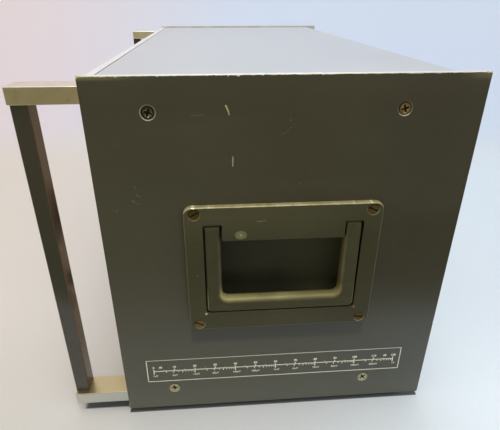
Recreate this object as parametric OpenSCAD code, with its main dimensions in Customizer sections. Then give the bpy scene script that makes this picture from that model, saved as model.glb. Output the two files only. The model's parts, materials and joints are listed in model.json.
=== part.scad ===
// Bench measuring receiver in a sheet-metal case.
// Flat side panels carry folding bail handles, guard handles stand in front of
// the front panel, and the front panel holds a meter, a tuning dial and controls.
// +Z is up, the front faces -Y, and the origin is the middle of the footprint
// at the height of the table. Millimetres.

/* [Case] */
// Width over the side panels
case_w = 470; // [466:1:474]
// Depth of the side panels
case_d = 230; // [228:1:234]
// Height of the side panels
case_h = 250; // [248:1:254]
// Thickness of the side panels
side_t = 3; // [2.6:0.2:3.2]
// Thickness of the front panel
front_t = 5; // [4:0.5:5]
// Thickness of the cover sheets
cover_t = 1.5; // [1:0.25:1.5]
// Gap from the table to the lower edge of the side panels
foot_gap = 3; // [2:0.5:5]
// How far the side panels stand above the covers
cover_drop = 2; // [1.5:0.5:2.5]
// How far the side panels stand behind the rear cover edge
rear_drop = 12; // [11:0.5:14]

/* [Carry handles] */
// Width of the handle plate
plate_w = 126; // [124:0.5:128]
// Height of the handle plate
plate_h = 94; // [93:0.5:95]
// How far the handle plate stands proud of the side panel
plate_t = 4; // [3.5:0.5:4.5]
// Width over the arms of the bail
bail_w = 100.8; // [100:0.2:101]
// Width of one bail arm
bail_arm = 10.3; // [9.5:0.1:10.5]
// Thickness of the bail
bail_t = 10.4; // [10:0.2:10.6]
// Height of the grip bar of the bail
grip_h = 9.5; // [9:0.5:12]
// Depth of the hand recess behind the panel
pan_depth = 31; // [26:1:34]

/* [Guard handles] */
// Reach of the guard in front of the side panels
guard_reach = 40; // [38:1:44]
// Width of a guard arm
arm_w = 17.5; // [16:0.5:18]
// Height of a guard arm
arm_h = 10; // [9:0.5:10]
// Width of the upright bar
bar_w = 13; // [12:0.5:14]
// Depth of the upright bar
bar_d = 10; // [9:0.5:11]

/* [Front controls] */
// Width of the meter bezel
meter_w = 126; // [120:1:126]
// Height of the meter bezel
meter_h = 100; // [98:1:104]
// Radius of the tuning dial disc
dial_r = 70; // [68:1:70]
// Radius of the tuning knob
tune_r = 30; // [24:1:32]
// Radius of the attenuator knob skirt
att_r = 21; // [18:0.5:22]

/* [Hidden] */
$fn = 64;
e = 0.01;

// Side panel faces and edges
xs = case_w / 2;
xi = xs - side_t;
yf = guard_reach - (guard_reach + case_d) / 2;
yr = yf + case_d;
zl = foot_gap;
zh = foot_gap + case_h;
zm = (zl + zh) / 2;
// Front panel, covers and rear panel
yp0 = yf + 0.5;
yp1 = yp0 + front_t;
xp = xi - 0.5;
zc1 = zh - cover_drop;
zc0 = zl + cover_drop;
yc0 = yp1 + 0.7;
yc1 = yr - rear_drop;
yb1 = yc1 - cover_t;
yb0 = yb1 - 2;
// Side rails
rail_w = 10;
rail_h = 14;
rzu = zh - 22;
rzl = zl + 22;
// Cross-recess screws of the side panels
side_y = [yf + 36, yf + 182.4];
side_z = [zl + 20, zh - 20];
// Carry handle: centre, screws, aperture, hinge
hy = yf + 114.5;
hz = zl + 125.75;
hsy = 56.3;
hsz = 42.2;
xo = xs + plate_t;
ap_gap = 0.7;
ap_top = 34.4;
ap_bot = -33;
tab_bot = 22.9;
bail_x1 = xo - 0.3;
bail_x0 = bail_x1 - bail_t;
hinge_x = bail_x1 - bail_t / 2;
hinge_z = hz + ap_top - 0.6 - bail_t / 2;
bail_bot = hz + ap_bot + ap_gap;
rod_r = 2;
// Guard handles
gx1 = xs - 3.5;
gx0 = gx1 - arm_w;
gzu = zh - 10.7;
gzl = zl + 9.8;
gy0 = yf - guard_reach;
bx1 = xs - 7;
bx0 = bx1 - bar_w;
bxc = (bx0 + bx1) / 2;
byc = gy0 + bar_d / 2;
gxc = (gx0 + gx1) / 2;
// Feet
foot_x = 190;
foot_y = [yf + 25, yf + 200];
// Meter
mx = -145;
mz = 178;
mf = yp0 - 9;
mpz = mz - 34;
mbz = mz - 12;
// Tuning dial: centre, rim driver, drive ratio
dx = 25;
dz = 152;
disc_y0 = yp1 + 3.5;
disc_t = 1.5;
drv_r = 5;
tz = dz - dial_r - drv_r - 0.3;
brk_y0 = yp1 + 26;
cap_y0 = brk_y0 + 2;
// Other controls
ax = 138;
az = 132;
sx = 180;
sz = 132;
vx = 145;
vz = 68;
wx = -198;
wz = 76;
lx = -165;
lz = 76;
rx = 180;
rz = 68;
jx = -105;
jz = 76;
// Rear fittings
ix = -150;
iz = 70;
fx = -95;
fz = 70;
ox = 120;
oz = 70;
// Deck height and transformer place
deck_z = rzl + rail_h / 2;
tx = -150;
ty = 70;

// Placing helpers: extrude along X or Y, and drill along an axis
module on_x(x0, x1) translate([x0, 0, 0]) rotate([90, 0, 90]) linear_extrude(height = x1 - x0) children();
module on_y(y0, y1) translate([0, y1, 0]) rotate([90, 0, 0]) linear_extrude(height = y1 - y0) children();
module cx(y, z, x0, x1, r) translate([x0, y, z]) rotate([0, 90, 0]) cylinder(h = x1 - x0, r = r);
module cy(x, z, y0, y1, r) translate([x, y0, z]) rotate([-90, 0, 0]) cylinder(h = y1 - y0, r = r);
module cz(x, y, z0, z1, r) translate([x, y, z0]) cylinder(h = z1 - z0, r = r);
module conex(y, z, x0, x1, r0, r1) translate([x0, y, z]) rotate([0, 90, 0]) cylinder(h = x1 - x0, r1 = r0, r2 = r1);
module coney(x, z, y0, y1, r0, r1) translate([x, y0, z]) rotate([-90, 0, 0]) cylinder(h = y1 - y0, r1 = r0, r2 = r1);
module box(x0, x1, y0, y1, z0, z1) translate([x0, y0, z0]) cube([x1 - x0, y1 - y0, z1 - z0]);
module side(s) if (s < 0) mirror([1, 0, 0]) children(); else children();
module rr(w, h, r) {
    square([w - 2 * r, h], center = true);
    square([w, h - 2 * r], center = true);
    for (i = [-1, 1], j = [-1, 1]) translate([i * (w / 2 - r), j * (h / 2 - r)]) circle(r);
}

// Countersunk M4 screw along +X or -Y/+Y, with a cross recess or a slot
module csk_up(len, slot) difference() {
    union() {
        cylinder(h = len - 2, r = 2);
        translate([0, 0, len - 2]) cylinder(h = 1.9, r1 = 2, r2 = 3.9);
    }
    if (slot) translate([-5, -0.5, len - 1.1]) cube([10, 1, 2]);
    else for (a = [0, 90]) rotate([0, 0, a]) translate([-2.3, -0.6, len - 1.6]) cube([4.6, 1.2, 2]);
}
module csk_x(y, z, xt, len, slot = false, a = 0) translate([xt - len, y, z]) rotate([0, 90, 0]) rotate([0, 0, a]) csk_up(len, slot);
module csk_front(x, z, yt, len, a = 0) translate([x, yt + len, z]) rotate([90, 0, 0]) rotate([0, 0, a]) csk_up(len, false);
module csk_back(x, z, yt, len, a = 0) translate([x, yt - len, z]) rotate([-90, 0, 0]) rotate([0, 0, a]) csk_up(len, false);
// Pan-head M3 screw standing on +Z, head up
module pan_up(len) difference() {
    union() {
        cylinder(h = len, r = 1.5);
        translate([0, 0, len]) cylinder(h = 1.8, r = 2.8);
    }
    for (a = [0, 90]) rotate([0, 0, a]) translate([-1.5, -0.35, len + 0.8]) cube([3, 0.7, 2]);
}

// ---------- Case ----------
module side_panel(s) side(s) difference() {
    on_x(xi, xs) translate([yf, zl]) square([case_d, case_h]);
    on_x(xi - 1, xs + 1) translate([hy, hz + 1]) rr(104, 70, 4);
    for (y = side_y, z = side_z) {
        cx(y, z, xi - 1, xs + 1, 2.15);
        conex(y, z, xs - 2.35, xs + e, 2.15, 4.5);
    }
    for (i = [-1, 1], j = [-1, 1]) cx(hy + i * hsy, hz + j * hsz, xi - 1, xs + 1, 2.15);
}
module right_side_panel() color([0.22, 0.21, 0.17]) side_panel(1);
module left_side_panel() color([0.22, 0.21, 0.17]) side_panel(-1);

// A cover is a sheet with turned side, rear and front lips
module cover_sheet() difference() {
    union() {
        box(-xp, xp, yc0, yc1, zc1 - cover_t, zc1);
        for (i = [-1, 1]) side(i) box(xp - 1.5, xp, yp1 + 6, yb0, rzu + rail_h / 2, zc1 - cover_t + e);
        box(-xp + 8, xp - 8, yb1, yc1, zc1 - 12, zc1 - cover_t + e);
        box(-xp + 16, xp - 16, yc0, yc0 + 1.5, zc1 - 4.5, zc1 - cover_t + e);
    }
    for (x = [-150, 0, 150]) cy(x, zc1 - 7, yb1 - 1, yc1 + 1, 1.65);
}
module top_cover() color([0.74, 0.75, 0.75]) cover_sheet();
module bottom_cover() color([0.74, 0.75, 0.75]) difference() {
    translate([0, 0, 2 * zm]) mirror([0, 0, 1]) cover_sheet();
    for (i = [-1, 1], y = foot_y) cz(i * foot_x, y, zc0 - 1, zc0 + cover_t + 1, 2.2);
    for (x = [-120 : 20 : 120], y = [-30, 40]) translate([x, y, zc0 - 1]) linear_extrude(height = 5) rr(4, 40, 1.9);
}

module front_panel() color([0.74, 0.74, 0.72]) difference() {
    box(-xp, xp, yp0, yp1, zc0, zc1);
    for (i = [-1, 1]) {
        for (z = [rzl, rzu]) {
            cy(i * (xi - 5), z, yp0 - 1, yp1 + 1, 2.15);
            coney(i * (xi - 5), z, yp0 - e, yp0 + 2.35, 4.5, 2.15);
        }
        for (z = [gzl, gzu]) cy(i * gxc, z, yp0 - 1, yp1 + 1, 2.2);
    }
    cy(mx, mbz, yp0 - 1, yp1 + 1, 36.6);
    on_y(yp0 - 1, yp1 + 1) translate([dx, dz]) intersection() {
        difference() { circle(66); circle(42); }
        polygon([[0, 0], [-110, 90], [110, 90]]);
    }
    cy(dx, tz, yp0 - 1, yp1 + 1, 3.06);
    cy(ax, az, yp0 - 1, yp1 + 1, 4.8);
    cy(sx, sz, yp0 - 1, yp1 + 1, 4.8);
    cy(vx, vz, yp0 - 1, yp1 + 1, 3.8);
    cy(wx, wz, yp0 - 1, yp1 + 1, 6.1);
    cy(lx, lz, yp0 - 1, yp1 + 1, 5.1);
    cy(rx, rz, yp0 - 1, yp1 + 1, 8.1);
    cy(jx, jz, yp0 - 1, yp1 + 1, 5.1);
}

module rear_panel() color([0.74, 0.75, 0.75]) difference() {
    box(-xp, xp, yb0, yb1, zc0 + cover_t, zc1 - cover_t);
    for (i = [-1, 1], z = [rzl, rzu]) {
        cy(i * (xi - 5), z, yb0 - 1, yb1 + 1, 2.15);
        coney(i * (xi - 5), z, yb1 - 1.9, yb1 + e, 2.15, 4.05);
    }
    for (x = [-150, 0, 150], z = [zc0 + 7, zc1 - 7]) cy(x, z, yb0 - 1, yb1 + 1, 1.52);
    for (x = [-60 : 10 : 60]) on_y(yb0 - 1, yb1 + 1) translate([x + 60, 170]) rr(4, 60, 1.9);
    box(ix - 14.2, ix + 14.2, yb0 - 1, yb1 + 1, iz - 10.2, iz + 10.2);
    for (i = [-1, 1]) cy(ix + i * 20, iz, yb0 - 1, yb1 + 1, 1.52);
    cy(fx, fz, yb0 - 1, yb1 + 1, 6.1);
    cy(ox, oz, yb0 - 1, yb1 + 1, 6.1);
}

module rail(z0, zs) difference() {
    box(xi - rail_w, xi, yp1, yb0, z0 - rail_h / 2, z0 + rail_h / 2);
    for (y = side_y) cx(y, zs, xi - rail_w - 1, xi + 1, 2.02);
    cy(xi - 5, z0, yp1 - 1, yp1 + 16, 2.02);
    cy(xi - 5, z0, yb0 - 16, yb0 + 1, 2.02);
    if (z0 < zm) for (y = [-40, 60]) cz(xi - 5, y, z0 - 3, z0 + rail_h / 2 + 1, 1.52);
}
module side_rails() color([0.70, 0.70, 0.70]) for (i = [-1, 1]) side(i) {
    rail(rzl, side_z[0]);
    rail(rzu, side_z[1]);
}

board_studs = concat(
    [for (x = [-208, -102], y = [-52, 22]) [x, y]],
    [for (x = [-52, 112], y = [-2, 97]) [x, y]]);
module chassis_deck() color([0.72, 0.72, 0.70]) difference() {
    union() {
        box(-xp, xp, yp1 + 9, yb0 - 5, deck_z, deck_z + 2);
        for (p = board_studs) cz(p[0], p[1], deck_z + 1, deck_z + 10, 3.5);
    }
    for (i = [-1, 1], y = [-40, 60]) cz(i * (xi - 5), y, deck_z - 1, deck_z + 3, 1.65);
    for (p = board_studs) cz(p[0], p[1], deck_z - 1, deck_z + 11, 1.52);
    for (i = [-1, 1]) cz(tx + i * 42, ty, deck_z - 1, deck_z + 3, 1.52);
}

cross_turn = [[4, 73], [35, 18]];
module case_screws() color([0.62, 0.55, 0.36]) {
    for (i = [-1, 1]) side(i) {
        for (j = [0, 1], k = [0, 1]) csk_x(side_y[j], side_z[k], xs, 11, false, cross_turn[j][k]);
        for (z = [rzl, rzu]) {
            csk_front(xi - 5, z, yp0, 16, 30);
            csk_back(xi - 5, z, yb1, 14, 15);
        }
    }
}

module small_screws() color([0.66, 0.66, 0.64]) {
    for (i = [-1, 1], y = [-40, 60]) translate([i * (xi - 5), y, deck_z + 2 - 9]) pan_up(9);
    for (p = board_studs) translate([p[0], p[1], deck_z + 11.6 - 9]) pan_up(9);
    for (i = [-1, 1]) translate([tx + i * 42, ty, deck_z + 6 - 9]) pan_up(9);
    for (i = [-1, 1]) translate([ix + i * 20, yb1 + 3 - 8, iz]) rotate([-90, 0, 0]) pan_up(8);
    for (x = [-150, 0, 150], z = [zc0 + 7, zc1 - 7]) translate([x, yc1 - 7, z]) rotate([-90, 0, 0]) pan_up(7);
}

// ---------- Carry handles ----------
module aperture() difference() {
    union() {
        translate([0, (ap_top + ap_bot) / 2]) rr(bail_w + 2 * ap_gap, ap_top - ap_bot, 3);
        translate([0, ap_top - 15]) rr(bail_w + 2 * ap_gap, 30, 1.4);
    }
    difference() {
        translate([-bail_w / 2 + bail_arm + ap_gap, tab_bot]) square([bail_w - 2 * bail_arm - 2 * ap_gap, 30]);
        for (i = [-1, 1]) translate([i * (bail_w / 2 - bail_arm - ap_gap), tab_bot]) difference() {
            square(3, center = true);
            translate([-i * 1.5, 1.5]) circle(1.5);
        }
    }
}
module handle_plate(s) side(s) difference() {
    union() {
        on_x(xs, xo) translate([hy, hz]) difference() { rr(plate_w, plate_h, 5.5); aperture(); }
        for (i = [-1, 1]) box(hinge_x - 5, xs + e, hy + i * 33.5 - 5.5, hy + i * 33.5 + 5.5, hinge_z - 4.5, hinge_z + 4.5);
    }
    cx2 = hinge_x;
    translate([cx2, hy - 52, hinge_z]) rotate([-90, 0, 0]) cylinder(h = 104, r = rod_r + 0.01);
    for (i = [-1, 1], j = [-1, 1]) {
        cx(hy + i * hsy, hz + j * hsz, xs - 1, xo + 1, 2.15);
        conex(hy + i * hsy, hz + j * hsz, xo - 1.95, xo + e, 2.15, 4.1);
    }
}
module handle_pan(s) side(s) difference() {
    union() {
        on_x(xi - 1, xi) translate([hy, hz]) rr(120, 92.5, 4);
        on_x(xi - pan_depth, xi - 0.5) translate([hy, hz + 1]) rr(104.6, 70.6, 4.2);
    }
    on_x(xi - pan_depth + 1, xi + 1) translate([hy, hz + 1]) rr(102.6, 68.6, 3.2);
    for (i = [-1, 1], j = [-1, 1]) cx(hy + i * hsy, hz + j * hsz, xi - 3, xi + 1, 2.15);
}
module bail(s) side(s) difference() {
    union() {
        on_x(bail_x0, bail_x1) translate([hy, 0]) difference() {
            union() {
                translate([0, (bail_bot + hinge_z) / 2 + 4]) rr(bail_w, hinge_z - bail_bot + 8, 3);
            }
            translate([-bail_w, hinge_z]) square([2 * bail_w, 60]);
            translate([0, bail_bot + grip_h + 50]) rr(bail_w - 2 * bail_arm, 100, 4);
        }
        for (i = [-1, 1]) translate([hinge_x, hy + i * (bail_w - bail_arm) / 2 - bail_arm / 2, hinge_z])
            rotate([-90, 0, 0]) cylinder(h = bail_arm, r = bail_t / 2);
    }
    translate([hinge_x, hy - 60, hinge_z]) rotate([-90, 0, 0]) cylinder(h = 120, r = rod_r + 0.05);
}
module right_handle_plate() color([0.30, 0.29, 0.24]) handle_plate(1);
module left_handle_plate() color([0.30, 0.29, 0.24]) handle_plate(-1);
module right_handle_pan() color([0.14, 0.14, 0.11]) handle_pan(1);
module left_handle_pan() color([0.14, 0.14, 0.11]) handle_pan(-1);
module right_bail() color([0.30, 0.29, 0.24]) bail(1);
module left_bail() color([0.30, 0.29, 0.24]) bail(-1);
module hinge_rods() color([0.65, 0.65, 0.62]) for (i = [-1, 1]) side(i)
    translate([hinge_x, hy - 50, hinge_z]) rotate([-90, 0, 0]) cylinder(h = 100, r = rod_r);
slot_turn = [[62, 119], [85, 63]];
module handle_plate_screws() color([0.52, 0.42, 0.26]) for (s = [-1, 1]) side(s)
    for (i = [0, 1], j = [0, 1]) csk_x(hy + (2 * i - 1) * hsy, hz + (2 * j - 1) * hsz, xo, 13, true, slot_turn[i][j]);
module handle_plate_nuts() color([0.66, 0.66, 0.62]) for (s = [-1, 1]) side(s)
    for (i = [-1, 1], j = [-1, 1]) difference() {
        translate([xi - 1 - 3.2, hy + i * hsy, hz + j * hsz]) rotate([0, 90, 0]) cylinder(h = 3.2, r = 7 / sqrt(3), $fn = 6);
        cx(hy + i * hsy, hz + j * hsz, xi - 6, xi, 2.02);
    }

// ---------- Guard handles ----------
module guard_arm(s, z, up) side(s) difference() {
    box(gx0, gx1, gy0, yp0, z - arm_h / 2, z + arm_h / 2);
    cz(bxc, byc, up ? z - arm_h / 2 - 1 : z + arm_h / 2 - 6.1, up ? z - arm_h / 2 + 6.1 : z + arm_h / 2 + 1, 4.02);
    cy(gxc, z, yp0 - 15, yp0 + 1, 2.02);
}
module guard_bar(s) side(s) union() {
    box(bx0, bx1, gy0, gy0 + bar_d, gzl + arm_h / 2, gzu - arm_h / 2);
    cz(bxc, byc, gzl + arm_h / 2 - 6, gzu - arm_h / 2 + 6, 4);
}
module right_upper_arm() color([0.68, 0.66, 0.60]) guard_arm(1, gzu, true);
module right_lower_arm() color([0.68, 0.66, 0.60]) guard_arm(1, gzl, false);
module left_upper_arm() color([0.68, 0.66, 0.60]) guard_arm(-1, gzu, true);
module left_lower_arm() color([0.68, 0.66, 0.60]) guard_arm(-1, gzl, false);
module right_guard_bar() color([0.19, 0.21, 0.20]) guard_bar(1);
module left_guard_bar() color([0.19, 0.21, 0.20]) guard_bar(-1);
module guard_screws() color([0.66, 0.66, 0.64]) for (s = [-1, 1], z = [gzl, gzu]) side(s) difference() {
    union() {
        cy(gxc, z, yp1 - 19, yp1 + e, 2);
        cy(gxc, z, yp1, yp1 + 2.4, 3.6);
    }
    for (a = [0, 90]) translate([gxc, yp1 + 2.4, z]) rotate([0, a, 0]) cube([4, 2.4, 0.9], center = true);
}

// ---------- Feet ----------
module rubber_feet() color([0.10, 0.10, 0.10]) for (i = [-1, 1], y = foot_y) translate([i * foot_x, y, 0]) difference() {
    cylinder(h = zc0, r1 = 9, r2 = 11);
    translate([0, 0, -1]) cylinder(h = zc0 + 2, r = 2.2);
    translate([0, 0, -1]) cylinder(h = 3.2, r = 4.4);
}
module foot_screws() color([0.66, 0.66, 0.64]) for (i = [-1, 1], y = foot_y) translate([i * foot_x, y, 0]) difference() {
    union() {
        translate([0, 0, 0.7]) cylinder(h = 1.5, r = 4);
        translate([0, 0, 2]) cylinder(h = zc0 + 7, r = 2);
        translate([0, 0, zc0 + cover_t]) cylinder(h = 3.2, r = 7 / sqrt(3), $fn = 6);
    }
    for (a = [0, 90]) rotate([0, 0, a]) translate([-2, -0.4, 0]) cube([4, 0.8, 1.5]);
}

// ---------- Meter ----------
module meter_case() color([0.09, 0.09, 0.09]) difference() {
    union() {
        on_y(mf, yp0) translate([mx, mz]) rr(meter_w, meter_h, 5);
        cy(mx, mbz, yp0 - e, yp0 + 34, 36);
    }
    on_y(mf + 2.5, mf + 7) translate([mx, mz + 1]) rr(114, 90, 3);
    on_y(mf - 1, mf + 3) translate([mx, mz + 12]) rr(114, 68, 3);
    cy(mx, mbz, mf + 6, yp0 + 32, 33);
}
module meter_scale() color([0.93, 0.92, 0.87]) difference() {
    on_y(mf + 6, mf + 7) translate([mx, mz + 1]) rr(113.4, 89.4, 2.7);
    cy(mx, mpz, mf, mf + 8, 6);
}
module meter_movement() color([0.45, 0.45, 0.44]) difference() {
    cy(mx, mpz, yp0 + 3, yp0 + 32, 10);
    cy(mx, mpz, yp0 + 5, yp0 + 24, 7);
    cy(mx, mpz, yp0, yp0 + 27, 0.8);
    box(mx - 12, mx + 12, yp0 + 6, yp0 + 23, mpz - 2, mpz + 2);
}
module meter_pointer() color([0.75, 0.15, 0.08]) translate([mx, 0, mpz]) rotate([0, -45, 0]) union() {
    cy(0, 0, mf + 3.6, yp0 + 26, 0.75);
    cy(0, 0, mf + 3.8, mf + 5.2, 3);
    box(-0.45, 0.45, mf + 4.2, mf + 4.6, -10, 64);
    box(-5.5, 5.5, yp0 + 8, yp0 + 20, -1, 1);
}
module meter_window() color([0.85, 0.90, 0.92, 0.35])
    on_y(mf + 0.4, mf + 2.4) translate([mx, mz + 12]) rr(113.6, 67.6, 2.8);

// ---------- Tuning drive ----------
// Knob: skirt, fluted grip and a dished top, standing on +Z
module knurl_knob(R, r0, h, n) union() {
    cylinder(h = 3, r = R);
    difference() {
        translate([0, 0, 2.5]) cylinder(h = h - 2.5, r = R * r0);
        for (k = [0 : n - 1]) rotate([0, 0, 360 * k / n]) translate([R * r0 + 0.3, 0, 3]) cylinder(h = h, r = 0.9);
        translate([0, 0, h - 0.6]) cylinder(h = 2, r = R * r0 - 2.2);
    }
}
module knob_at(x, z, yb, R, r0, h, n, bore, depth) translate([x, yb, z]) rotate([90, 0, 0]) difference() {
    knurl_knob(R, r0, h, n);
    translate([0, 0, -1]) cylinder(h = depth + 1, r = bore);
    translate([0, 0, -1]) cylinder(h = 2.5, r = min(R - 3, 8));
}
module tuning_knob() color([0.10, 0.10, 0.10]) knob_at(dx, tz, yp0 - 1.5, tune_r, 0.86, 24, 36, 3.02, 18);
module tuning_shaft() color([0.70, 0.70, 0.70]) union() {
    cy(dx, tz, yp0 - 19, brk_y0 + 3, 3);
    cy(dx, tz, disc_y0 - 1.75, disc_y0 - 0.25, drv_r + 4);
    cy(dx, tz, disc_y0 - 0.25 - e, disc_y0 + disc_t + 0.25 + e, drv_r);
    cy(dx, tz, disc_y0 + disc_t + 0.25, disc_y0 + disc_t + 1.75, drv_r + 4);
}
module dial_disc() color([0.90, 0.89, 0.84]) difference() {
    union() {
        cy(dx, dz, disc_y0, disc_y0 + disc_t, dial_r);
        cy(dx, dz, disc_y0 + disc_t - e, disc_y0 + disc_t + 7, 8);
    }
    cy(dx, dz, disc_y0 - 1, disc_y0 + 12, 3.01);
}
module dial_shaft() color([0.70, 0.70, 0.70]) cy(dx, dz, disc_y0 - 1, cap_y0 + 44, 3);
module dial_window() color([0.85, 0.90, 0.92, 0.35]) on_y(yp1, yp1 + 1.5) translate([dx, dz]) intersection() {
    difference() { circle(70); circle(38); }
    translate([0, -6]) polygon([[0, 0], [-116, 95], [116, 95]]);
}
pillar_at = [for (x = [-62, 62], z = [-76, 60]) [dx + x, dz + z]];
module dial_bracket() color([0.72, 0.72, 0.70]) difference() {
    box(dx - 70, dx + 70, brk_y0, brk_y0 + 2, dz - 84, dz + 68);
    cy(dx, dz, brk_y0 - 1, brk_y0 + 3, 3.05);
    cy(dx, tz, brk_y0 - 1, brk_y0 + 3, 3.05);
}
module bracket_pillars() color([0.70, 0.70, 0.70]) for (p = pillar_at) cy(p[0], p[1], yp1, brk_y0, 4);
module tuning_capacitor() color([0.62, 0.62, 0.60]) difference() {
    union() {
        for (y = [0, 40]) box(dx - 28, dx + 28, cap_y0 + y, cap_y0 + y + 2, dz - 36, dz + 12);
        box(dx - 28, dx + 28, cap_y0, cap_y0 + 42, dz - 36, dz - 34);
        for (k = [0 : 5]) box(dx - 25, dx + 25, cap_y0 + 7 + 5 * k, cap_y0 + 7.8 + 5 * k, dz - 35, dz - 6);
    }
    cy(dx, dz, cap_y0 - 1, cap_y0 + 45, 3.05);
}
module capacitor_rotor() color([0.75, 0.75, 0.73]) difference() {
    union() {
        cy(dx, dz, cap_y0 + 4, cap_y0 + 38, 5);
        for (k = [0 : 4]) on_y(cap_y0 + 9.5 + 5 * k, cap_y0 + 10.3 + 5 * k) translate([dx, dz]) intersection() {
            circle(24);
            translate([-30, -30]) square([30, 60]);
        }
    }
    cy(dx, dz, cap_y0, cap_y0 + 45, 3.01);
}

// ---------- Attenuator, selector, volume ----------
module attenuator_knob() color([0.10, 0.10, 0.10]) knob_at(ax, az, yp0 - 3, att_r, 0.68, 18, 24, 3.02, 13);
module attenuator_shaft() color([0.70, 0.70, 0.70]) cy(ax, az, yp0 - 15.5, yp1 + 44, 3);
module attenuator_body() color([0.68, 0.68, 0.66]) difference() {
    union() {
        cy(ax, az, yp1, yp1 + 50, 25);
        cy(ax, az, yp0 - 2, yp1 + e, 4.7);
        for (a = [0 : 30 : 330]) translate([ax, yp1 + 50 - e, az]) rotate([0, a, 0]) cy(20, 0, 0, 2, 1.2);
    }
    cy(ax, az, yp0 - 3, yp1 + 46, 3.05);
}
module selector_knob() color([0.10, 0.10, 0.10]) union() {
    knob_at(sx, sz, yp0 - 3, 13, 0.72, 10, 18, 2, 6);
    cy(sx, sz, yp0 - 9 + e, yp1 + 24, 3);
}
module selector_switch() color([0.62, 0.50, 0.32]) difference() {
    union() {
        cy(sx, sz, yp1, yp1 + 4, 13);
        cy(sx, sz, yp0 - 2, yp1 + e, 4.7);
        for (y = [10, 18]) cy(sx, sz, yp1 + y, yp1 + y + 2, 15);
        for (i = [-1, 1]) cy(sx + i * 11, sz, yp1, yp1 + 22, 1.8);
    }
    cy(sx, sz, yp0 - 3, yp1 + 30, 3.05);
}
module volume_knob() color([0.10, 0.10, 0.10]) union() {
    knob_at(vx, vz, yp0 - 2.5, 8, 0.8, 15, 12, 2, 10);
    cy(vx, vz, yp0 - 12.5 + e, yp1 + 8, 3);
}
module volume_control() color([0.55, 0.55, 0.52]) difference() {
    union() {
        cy(vx, vz, yp1, yp1 + 13, 12);
        cy(vx, vz, yp0 - 1, yp1 + e, 3.7);
    }
    cy(vx, vz, yp0 - 2, yp1 + 9, 3.05);
}

// ---------- Power switch, lamp, sockets ----------
module power_switch() color([0.70, 0.70, 0.68]) difference() {
    union() {
        box(wx - 7, wx + 7, yp1, yp1 + 22, wz - 13, wz + 13);
        cy(wx, wz, yp0 - 6, yp1 + e, 6);
        translate([wx, yp0, wz]) rotate([90, 0, 0]) cylinder(h = 2.2, r = 8.5, $fn = 6);
    }
    cy(wx, wz, yp0 - 7, yp1 + 8, 4.4);
    cx(yp0, wz, wx - 5.7, wx + 5.7, 1.05);
}
module power_lever() color([0.75, 0.75, 0.73]) translate([wx, yp0, wz]) rotate([12, 0, 0]) union() {
    sphere(r = 3.4);
    cx(0, 0, -5.4, 5.4, 1);
    cy(0, 0, -16, 6, 1.9);
    coney(0, 0, -20, -16, 3.0, 1.9 + 0.4);
    translate([0, -20, 0]) sphere(r = 3.0);
}
module pilot_lamp() color([0.75, 0.12, 0.08]) union() {
    cy(lx, lz, yp0 - 2, yp1 + 18, 5);
    cy(lx, lz, yp0 - 3, yp0, 7);
    coney(lx, lz, yp0 - 9, yp0 - 3 + e, 3.6, 5.2);
}
module rf_input() color([0.78, 0.76, 0.70]) difference() {
    union() {
        on_y(yp0 - 2.5, yp0) translate([rx, rz]) rr(25, 25, 2);
        cy(rx, rz, yp0 - 14, yp1 + 6, 7.9);
        cy(rx, rz, yp1 + 6 - e, yp1 + 12, 3);
    }
    cy(rx, rz, yp0 - 15, yp0 - 11.5, 6);
    cy(rx, rz, yp0 - 12, yp0 - 8, 1.5);
}
module phones_jack() color([0.70, 0.70, 0.68]) difference() {
    union() {
        box(jx - 9, jx + 9, yp1, yp1 + 26, jz - 10, jz + 10);
        cy(jx, jz, yp0 - 4, yp1 + e, 5);
        translate([jx, yp0, jz]) rotate([90, 0, 0]) cylinder(h = 2.4, r = 8, $fn = 6);
    }
    cy(jx, jz, yp0 - 5, yp1 + 24, 3.25);
}

// ---------- Inner units ----------
module power_transformer() color([0.35, 0.30, 0.25]) translate([tx, ty, deck_z + 2]) union() {
    difference() {
        translate([-37.5, -16, 4 - e]) cube([75, 32, 62 + e]);
        for (i = [-1, 1]) translate([i * 16 - 7, -17, 16]) cube([14, 34, 38]);
    }
    difference() {
        translate([-22, -27, 17]) cube([44, 54, 36]);
        translate([-9, -16.01, 16]) cube([18, 32.02, 38]);
    }
    difference() {
        translate([-46, -14, 0]) cube([92, 28, 4]);
        for (i = [-1, 1]) translate([i * 42, 0, -1]) cylinder(h = 6, r = 1.65);
    }
}
module board(x0, x1, y0, y1, studs) difference() {
    box(x0, x1, y0, y1, deck_z + 10, deck_z + 11.6);
    for (p = studs) cz(p[0], p[1], deck_z + 9, deck_z + 13, 1.65);
}
bz = deck_z + 11.6 - e;
module power_board() color([0.45, 0.33, 0.15]) union() {
    board(-215, -95, -58, 28, [for (k = [0 : 3]) board_studs[k]]);
    for (p = [[-190, -30], [-160, -30], [-130, -30]]) cz(p[0], p[1], bz, bz + 32, 11);
    for (k = [0 : 3]) box(-196 + 24 * k, -180 + 24 * k, 2, 8, bz, bz + 20);
}
module signal_board() color([0.45, 0.33, 0.15]) union() {
    board(-60, 120, -8, 103, [for (k = [4 : 7]) board_studs[k]]);
    for (k = [0 : 3]) box(-42 + 36 * k, -14 + 36 * k, 12, 40, bz, bz + 34);
    for (k = [0 : 5], j = [0, 1]) cz(-40 + 26 * k, 60 + 22 * j, bz, bz + 9, 5);
}

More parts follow.
